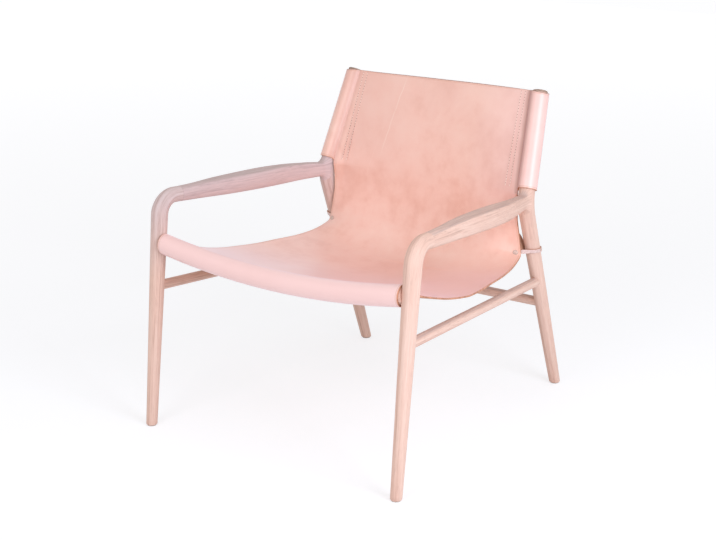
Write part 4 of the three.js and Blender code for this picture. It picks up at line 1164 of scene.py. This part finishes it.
def hideMesh():  # points, faces, flat places, and distances to the rims and to the fold at the sleeves, for the painted fold shade
    rows, columns = grid.shape[0], grid.shape[1]
    centre = columns // 2
    runs = np.array([runAlong(grid[:, c]) for c in range(columns)]).T
    points = list(grid.reshape(-1, 3))
    flats = [vec(grid[r, c, 0], runs[r, centre], 0) for r in range(rows) for c in range(columns)]
    rims, folds = [], []
    for r in range(rows):
        toTop = runs[-1, centre] - runs[r, centre]
        for c in range(columns):
            toSide = abs(grid[r, -1, 0]) - abs(grid[r, c, 0])
            rims.append(min(toTop, toSide if r <= waistRow else 30, 30))
            folds.append(-min(toSide, 50) if r > waistRow else -50)
    faces = gridFaces(rows, columns)
    for side in (1, -1):
        index = np.zeros((len(sleeve), len(alongs)), int)
        index[0] = (waistRow + np.arange(len(alongs))) * columns + (columns - 1 if side > 0 else 0)
        for w in range(1, len(sleeve)):
            for j in range(len(alongs)):
                index[w, j] = len(points)
                points.append(sleeve[w, j] * (side, 1, 1))
                aside = abs(grid[waistRow + j, -1, 0]) + sleeveRun[w]
                flats.append(vec(side * aside, runs[waistRow + j, centre], 0))
                ends = [np.linalg.norm(sleeve[w, j] - sleeve[w, k]) for k in (-1, 0)]
                rims.append(min(*ends, 30))
                folds.append(min(sleeveRun[w], 50))
        for quad in gridFaces(len(sleeve), len(alongs)):  # the two sleeves turn opposite ways
            a, b, c, d = (index.flat[k] for k in quad)
            faces.append((a, d, c, b) if side > 0 else (b, c, d, a))
    return np.array(points), faces, np.array(flats), rims, folds


def thicken(piece, thick, rim=0.75):
    solid = piece.modifiers.new("thickness", "SOLIDIFY")
    solid.thickness = thick * mm
    solid.offset = 0
    solid.use_even_offset = False
    solid.use_rim = True
    solid.material_offset = 1
    solid.material_offset_rim = 2
    edgeRound = piece.modifiers.new("edges", "BEVEL")
    edgeRound.width = rim * mm
    edgeRound.segments = 2
    edgeRound.limit_method = "ANGLE"
    edgeRound.angle_limit = math.radians(55)
    edgeRound.use_clamp_overlap = True
    edgeRound.harden_normals = False
    edgeRound.material = 2
    applyModifiers(piece)


def applyModifiers(piece):
    graph = bpy.context.evaluated_depsgraph_get()
    graph.update()
    shaped = piece.evaluated_get(graph)
    made = bpy.data.meshes.new_from_object(shaped, preserve_all_data_layers=True, depsgraph=graph)
    piece.modifiers.clear()
    piece.data = made


def clearOfLegs(piece, gap=0.3):  # the hem's ends are cut to the round of the front legs
    start, end = foot["front"], armCorner
    way = unit(end - start)
    inner, lowest, highest = hide["nearLegs"]
    for vertex in piece.data.vertices:
        x, y, z = (c / mm for c in vertex.co)
        if abs(x) < inner or not lowest < z < highest:
            continue
        here = vec(abs(x), y, z)
        axisPoint = start + way * np.dot(here - start, way)
        clear = frontRadius(z) + gap
        aside = (here - axisPoint)[1]
        if abs(aside) < clear:
            limit = axisPoint[0] - math.sqrt(clear**2 - aside**2)
            vertex.co.x = math.copysign(min(abs(x), limit), x) * mm


points, faces, flats, rims, folds = hideMesh()
leathers = [face, flesh, edge]
slingPiece = newMesh("leather_sling", points, faces, leathers, None, flats, 180, rim=rims, fold=folds)
thicken(slingPiece, hide["thick"])
clearOfLegs(slingPiece)
slingPiece.data.set_sharp_from_angle(angle=math.radians(60))
finishPiece(slingPiece, "leather", "sling_leather")

# Straps that tie the hide's rear corners to the legs

strapPlan = {
    "height": 365.0, "width": 9.5, "thick": 2.8, "inset": 12.0, "beforeCorner": 2.0,
    "ear": 38.0, "earCurve": 1.6, "padReach": 0.6, "screwRise": 2.0, "gap": 0.3, "padRows": 8,
    "loopRows": 61, "join": (0.2, 0.4, 0.6, 0.8), "columns": 7, "spacing": 1.5, "eased": 1.6, "rim": 0.6,
}


def hidePoint(share, u):  # a point of the finished sheet's middle surface, on the seat and lower back
    r = hemRows + (share - hide["firstShare"]) / (1 - hide["firstShare"]) * (hide["seatRows"] - 1)
    c = float(np.interp(u, across, np.arange(len(across))))
    r0, c0 = int(r), min(int(c), len(across) - 2)
    low = mix(grid[r0, c0], grid[r0, c0 + 1], c - c0)
    high = mix(grid[r0 + 1, c0], grid[r0 + 1, c0 + 1], c - c0)
    return mix(low, high, r - r0)


def studPlace():
    share = (hide["cornerShare"] - strapPlan["beforeCorner"] / edgeLine.length) / shareScale
    u = 1 - strapPlan["inset"] / lowerHalf(share)
    at = hidePoint(share, u)
    along = hidePoint(share + 0.012, u) - at
    sideways = hidePoint(share, u + 0.02) - hidePoint(share, u - 0.02)
    return at, unit(np.cross(sideways, along)), unit(hidePoint(share + 0.03, u) - at)


studAt, studFace, studUp = studPlace()
loopCentre = onLeg("rear", strapPlan["height"])
loopRadius = rearRadius(strapPlan["height"] + strapPlan["width"]) + 0.35 + strapPlan["thick"] / 2


def strapPad(depth, share):
    toLeg = loopCentre - studAt
    endWay = unit(toLeg - studFace * np.dot(toLeg, studFace))
    return studAt - studFace * depth + endWay * share * strapPlan["width"]


def strapLine():  # middle line of the band, the way its outer side faces and the way down: pad, loop, pad
    slope = legAlong["rear"][2]
    firstDepth = hide["thick"] / 2 + strapPlan["gap"] + strapPlan["thick"] / 2
    secondDepth = firstDepth + strapPlan["thick"] + strapPlan["gap"]
    reach = strapPlan["padReach"]
    downPad = unit(np.cross(strapPad(0, 1) - strapPad(0, 0), studFace))
    downLeg = -legAlong["rear"]

    def touch(point, sign):
        x, y = point[0] - loopCentre[0], (point[1] - loopCentre[1]) * slope
        return math.atan2(y, x) + sign * math.acos(loopRadius / math.hypot(x, y))

    def bridge(a, b):  # rows between one row and the next, without the two
        rows = []
        for t in strapPlan["join"]:
            rows.append((mix(a[0], b[0], t), unit(mix(a[1], b[1], t)), unit(mix(a[2], b[2], t))))
        return rows

    def pad(depth, way, reaches):
        return [(strapPad(depth, s), way, downPad) for s in reaches]

    start = touch(strapPad(firstDepth, reach), 1)
    end = touch(strapPad(secondDepth, reach), -1) + 2 * math.pi
    first = pad(firstDepth, studFace, np.linspace(-reach, reach, strapPlan["padRows"]))
    second = pad(secondDepth, -studFace, np.linspace(reach, -reach, strapPlan["padRows"]))
    loop = []
    for a in np.linspace(start, end, strapPlan["loopRows"]):
        point = loopCentre + vec(math.cos(a), math.sin(a) / slope, 0) * loopRadius
        loop.append((point, vec(math.cos(a), math.sin(a), 0), downLeg))
    return first + bridge(first[-1], loop[0]) + loop + bridge(loop[-1], second[0]) + second


def strapGrid():
    line = strapLine()
    given, ways, downs = (np.array([row[part] for row in line]) for part in range(3))
    run = runAlong(given)
    path = smoothed(given, strapPlan["spacing"], strapPlan["eased"])
    share = np.linspace(0, 1, len(path)) * run[-1]
    padRun = run[-strapPlan["padRows"]]
    tangentRun = run[-strapPlan["padRows"] - len(strapPlan["join"]) - 1]
    rows = []
    for k in range(len(path)):
        ahead = unit(path[min(k + 1, len(path) - 1)] - path[max(k - 1, 0)])
        way = np.array([np.interp(share[k], run, ways[:, i]) for i in range(3)])
        way = unit(way - ahead * np.dot(way, ahead))
        side = unit(np.array([np.interp(share[k], run, downs[:, i]) for i in range(3)]))
        half = strapPlan["width"] / 2
        lift = 0.0
        if share[k] > tangentRun:
            t = (share[k] - tangentRun) / (padRun - tangentRun)
            on = (share[k] - padRun) / (run[-1] - padRun)
            swing = 1 - (1 - min(t, 1)) ** strapPlan["earCurve"]
            lift = strapPlan["ear"] * swing * mix(1, 0.1, max(on, 0))
        row = []
        for s in np.linspace(-1, 1, strapPlan["columns"]):
            row.append(path[k] + side * half * s + studUp * lift * (1 - s) / 2)
        rows.append(row)
    return np.array(rows)


def strap(name, side):
    rows = strapGrid()
    points = rows.reshape(-1, 3)
    faces = gridFaces(*rows.shape[:2])
    piece = newMesh(name, points, faces, [strapFace, flesh, edge], None, points, 180)
    thicken(piece, strapPlan["thick"], strapPlan["rim"])
    piece.data.set_sharp_from_angle(angle=math.radians(60))
    return piece


bothSides("tie_strap", strap, "leather", "corner_strap")
print("straps made")


# Turned fittings

def turned(name, profile, start, along, material, sides=40, sharp=32):
    side, up = sectionFrame(unit(along))
    turns = roundTurns(sides)
    ringWay = np.outer(np.cos(turns), side) + np.outer(np.sin(turns), up)
    points = [start + unit(along) * profile[0][1]]
    for radius, reach in profile[1:-1]:
        points.extend(start + unit(along) * reach + radius * ringWay)
    points.append(start + unit(along) * profile[-1][1])
    return newMesh(name, points, spunFaces(len(profile) - 2, sides), [material], None, points, sharp)


def domed(radius, height, rise, steps=5):
    rows = [(0, 0)]
    for k in range(1, steps + 1):
        a = math.pi / 2 * k / steps
        rows.append((radius * math.sin(a), rise * (1 - math.cos(a))))
    return rows + [(radius, height)]


fittings = {
    "stud": domed(6.0, 2.2, 1.3) + [(2.0, 2.2), (2.0, 12.0), (0, 12.0)],
    "nut": [(0, 0), (5.5, 0), (5.5, 1.4), (5.0, 2.0), (3.2, 2.4), (0, 2.4)],
    "screw": domed(3.2, 2.2, 1.3) + [(1.6, 2.2), (1.6, 18.0), (0, 18.0)],
    "glide": [(0, 0), (9.9, 0), (10.3, 0.2), (10.5, 0.6), (10.5, 1.8), (1.5, 1.8), (1.5, 10.8), (0, 10.8)],
}


def fitting(name, kind, at, along, material, slot, nodeName):  # one turned piece on each side
    def make(sideName, side):
        return turned(sideName, fittings[kind], at, along, material)
    bothSides(name, make, slot, nodeName)


headHeight = hide["thick"] / 2 + 2.3
nutDepth = hide["thick"] / 2 + 2 * strapPlan["thick"] + 0.9
fitting("stud_head", "stud", studAt + studFace * headHeight, -studFace, steel, "steel", "stud_front")
fitting("stud_nut", "nut", studAt - studFace * nutDepth, -studFace, steel, "steel", "stud_back")
screwTip = loopRadius + strapPlan["thick"] / 2 + 2.4
screwCentre = onLeg("rear", strapPlan["height"] + strapPlan["screwRise"])
fitting("strap_screw_head", "screw", screwCentre + xWay * screwTip, -xWay, steel, "steel", "strap_screw")
for which in ("front", "rear"):
    middle = foot[which] + legAlong[which] * (legPlan["level"] / legAlong[which][2])
    middle[2] = 0
    fitting(f"glide_pad_{which}", "glide", middle, zWay, felt, "felt", f"glide_{which}")
print("fittings made")


# Stitches of the sleeves

stitch = {
    "length": 4.6, "pitch": 6.5, "radius": 0.75, "proud": 0.2, "sides": 8,
    "rows": ((42.0, 31.0), (54.0, 42.0)),  # distance from the post's line at bottom and top
    "profile": [(0.62, -0.46), (0.95, -0.36), (1.0, -0.15), (1.0, 0.15), (0.95, 0.36), (0.62, 0.46)],
    "tipDown": 0.25, "curveDown": 3.0, "first": 4.0, "last": 3.0,
    "hole": 0.78, "holeLong": 1.3, "holeWide": 0.9, "holeProud": 0.06, "holeRim": 0.02, "holeDeep": 1.0,
}


def stitchRing(centre, one, other):  # points round a small loop that two ways span
    points = []
    for a in roundTurns(stitch["sides"]):
        points.append(centre + one * math.cos(a) + other * math.sin(a))
    return points


def capsule(centre, along, up):  # one stitch of thread, bent down at its ends
    side = np.cross(along, up)
    tip = along * stitch["length"] / 2
    points = [centre - tip - up * stitch["tipDown"]]
    for share, reach in stitch["profile"]:
        middle = centre + along * reach * stitch["length"] - up * abs(reach) ** 3 * stitch["curveDown"]
        radius = stitch["radius"] * share
        points += stitchRing(middle, side * radius, up * radius)
    points.append(centre + tip - up * stitch["tipDown"])
    return points, spunFaces(len(stitch["profile"]), stitch["sides"])


# a flat dark disc over each pricked hole, painted shade standing in for the hole's depth
def shadeDisc(centre, along, up):
    side, radius, sides = np.cross(along, up), stitch["hole"], stitch["sides"]
    points = [centre + up * stitch["holeProud"]]
    points += stitchRing(centre - up * stitch["holeRim"], along * radius * stitch["holeLong"],
                         side * radius * stitch["holeWide"])
    points.append(centre - up * stitch["holeDeep"])
    faces = [(0, 1 + i, 1 + (i + 1) % sides) for i in range(sides)]
    faces += [(sides + 1, 1 + (i + 1) % sides, 1 + i) for i in range(sides)]
    return points, faces


def sewnRow(places):  # thread and a dark disc of painted shade over the pricked hole at each centre, with its direction and outward way
    points, faces, slots = [], [], []
    for centre, along, up in places:
        sewn = capsule(centre + up * stitch["proud"], along, up)
        hole = shadeDisc(centre + along * stitch["pitch"] / 2, along, up)
        for slot, (newPoints, newFaces) in enumerate((sewn, hole)):
            first = len(points)
            points.extend(newPoints)
            faces.extend(tuple(first + k for k in corners) for corners in newFaces)
            slots.extend([slot] * len(newFaces))
    return points, faces, slots


def sleeveStitches(name, side):
    places = []
    for low, high in stitch["rows"]:
        along = sleevePlan["start"] + stitch["first"]
        while along < panelEnd - stitch["last"]:
            distance = mix(low, high, sleeveShare(along))
            for layer in (0, 1):
                here, on = stitchPoint(along, distance, layer), stitchPoint(along + 1, distance, layer)
                beside = stitchPoint(along, distance + 1, layer)
                way = unit(on - here)
                out = unit(np.cross(beside - here, way))
                if layer:
                    out = -out
                places.append((here, way, out))
            along += stitch["pitch"]
    points, faces, slots = sewnRow(places)
    return newMesh(name, points, faces, [thread, holeShade], slots, None, 180)


def stitchPoint(along, distance, layer):  # a point on the web's front or back skin
    if layer:
        down, out = webWays(along)
        base = np.array((sleevePlan["valleyAt"], onSleeve("layer", along)))
        base = base + down * (distance - sleevePlan["valleyAt"])
        return postPoint(along, base - out * (hide["thick"] * 1.5 + sleevePlan["layerGap"]))
    a, b = panelEdge(along), panelMiddle(along)
    half = a[0]
    a = a * (0, 1, 1)
    reach = (kink + postAlong * along)[0] - distance
    u = reach / half
    p = mix(a, b, hollow(u, hide["flatten"]))
    p[0] = reach
    p = p + postAlong * (0, 1, 1) * float(topLift(along, np.array(u)))
    beside = mix(a, b, hollow(u - 0.01, hide["flatten"]))
    beside[0] = reach - 0.01 * half
    normal = unit(np.cross(beside - p, postAlong))
    if normal[1] > 0:
        normal = -normal
    return p + normal * hide["thick"] / 2


sleeveSewing = bothSides("sleeve_stitches", sleeveStitches, "leather")
print("stitches made")


# Stage: camera, floor, light

bpy.context.scene.view_settings.view_transform = "Standard"

view = {"focal": 1496.68, "imageWide": 716, "sensor": 36, "at": (1.84804, -2.62824, 1.31343),
        "down": 17.08, "turn": 35.60, "far": 60}
camera = bpy.data.objects.new("camera", bpy.data.cameras.new("camera"))
bpy.context.scene.collection.objects.link(camera)
camera.data.sensor_width = view["sensor"]
camera.data.lens = view["focal"] * view["sensor"] / view["imageWide"]
camera.location = view["at"]
camera.rotation_euler = (math.radians(90 - view["down"]), 0, math.radians(view["turn"]))
camera.data.clip_end = view["far"]
bpy.context.scene.camera = camera

# Lamps: degrees from straight ahead towards the right, degrees of height, watts, metres across and away
light = {"world": 0.56, "worldTone": (255, 249, 243), "seenTone": (254, 254, 255), "aim": (0, 0, 0.35),
         "key": (72, 25, 29, 1.1, 2.4), "keyTint": (0.86, 0.90, 1.0),
         "fill": (2, 28, 20, 1.2, 3.0), "fillTint": (0.92, 0.93, 1.0)}


def lamp(name, tint, turn, rise, power, size, distance):
    turn, rise = math.radians(turn), math.radians(rise)
    toward = Vector((math.sin(turn) * math.cos(rise), -math.cos(turn) * math.cos(rise), math.sin(rise)))
    data = bpy.data.lights.new(name, "AREA")
    data.energy = power
    data.size = size
    data.color = tint
    made = bpy.data.objects.new(name, data)
    made.location = Vector(light["aim"]) + toward * distance
    made.rotation_euler = (-toward).to_track_quat("-Z", "Y").to_euler()
    bpy.context.scene.collection.objects.link(made)


lamp("key lamp", light["keyTint"], *light["key"])
lamp("fill lamp", light["fillTint"], *light["fill"])

world = bpy.data.worlds.new("studio")
bpy.context.scene.world = world
world.use_nodes = True
sky = Nodes(world.node_tree)
ambient = sky.tree.nodes["Background"]
ambient.inputs["Color"].default_value = rgb(*light["worldTone"])
ambient.inputs["Strength"].default_value = light["world"]
seenSky = sky.node("ShaderNodeBackground", Color=rgb(*light["seenTone"]), Strength=1.0)
pick = sky.node("ShaderNodeMixShader", Fac=sky.seenStraight())
sky.put(pick.inputs[1], ambient.outputs["Background"])
sky.put(pick.inputs[2], seenSky.outputs["Background"])
sky.put(sky.tree.nodes["World Output"].inputs["Surface"], pick.outputs["Shader"])


floorPlan = {
    "half": 7000, "tone": (246, 246, 249), "cloud": (236, 236, 240), "seenTone": (172, 172, 176),
    "glow": (251, 253, 255), "near": 0.68, "far": 0.785, "over": (1.0, 5.0),
}


def floorLook():  # a pale floor that is seen as nearly white, with the chair's soft shadow on it
    look = Look("studioFloor")
    where = look.place((1, 1, 1))
    seen = look.seenStraight()
    cloud = look.reach(look.noise(where, 3, 2), 0.3, 0.7, 0.0, 0.03)
    tone = look.blend(cloud, rgb(*floorPlan["tone"]), rgb(*floorPlan["cloud"]))
    tone = look.blend(seen, tone, rgb(*floorPlan["seenTone"]))
    away = look.node("ShaderNodeVectorMath", {"operation": "LENGTH"}, Vector=where).outputs["Value"]
    glow = look.times(seen, look.reach(away, *floorPlan["over"], floorPlan["near"], floorPlan["far"]))
    look.put(look.shader.inputs["Emission Color"], rgb(*floorPlan["glow"]))
    look.put(look.shader.inputs["Emission Strength"], glow)
    return look.wear(tone, 0.9, Specular_IOR_Level=0.1)


half = floorPlan["half"]
floor = newMesh("studio_floor", [(-half, -half, 0), (half, -half, 0), (half, half, 0), (-half, half, 0)],
                [(0, 1, 2, 3)], [floorLook()])
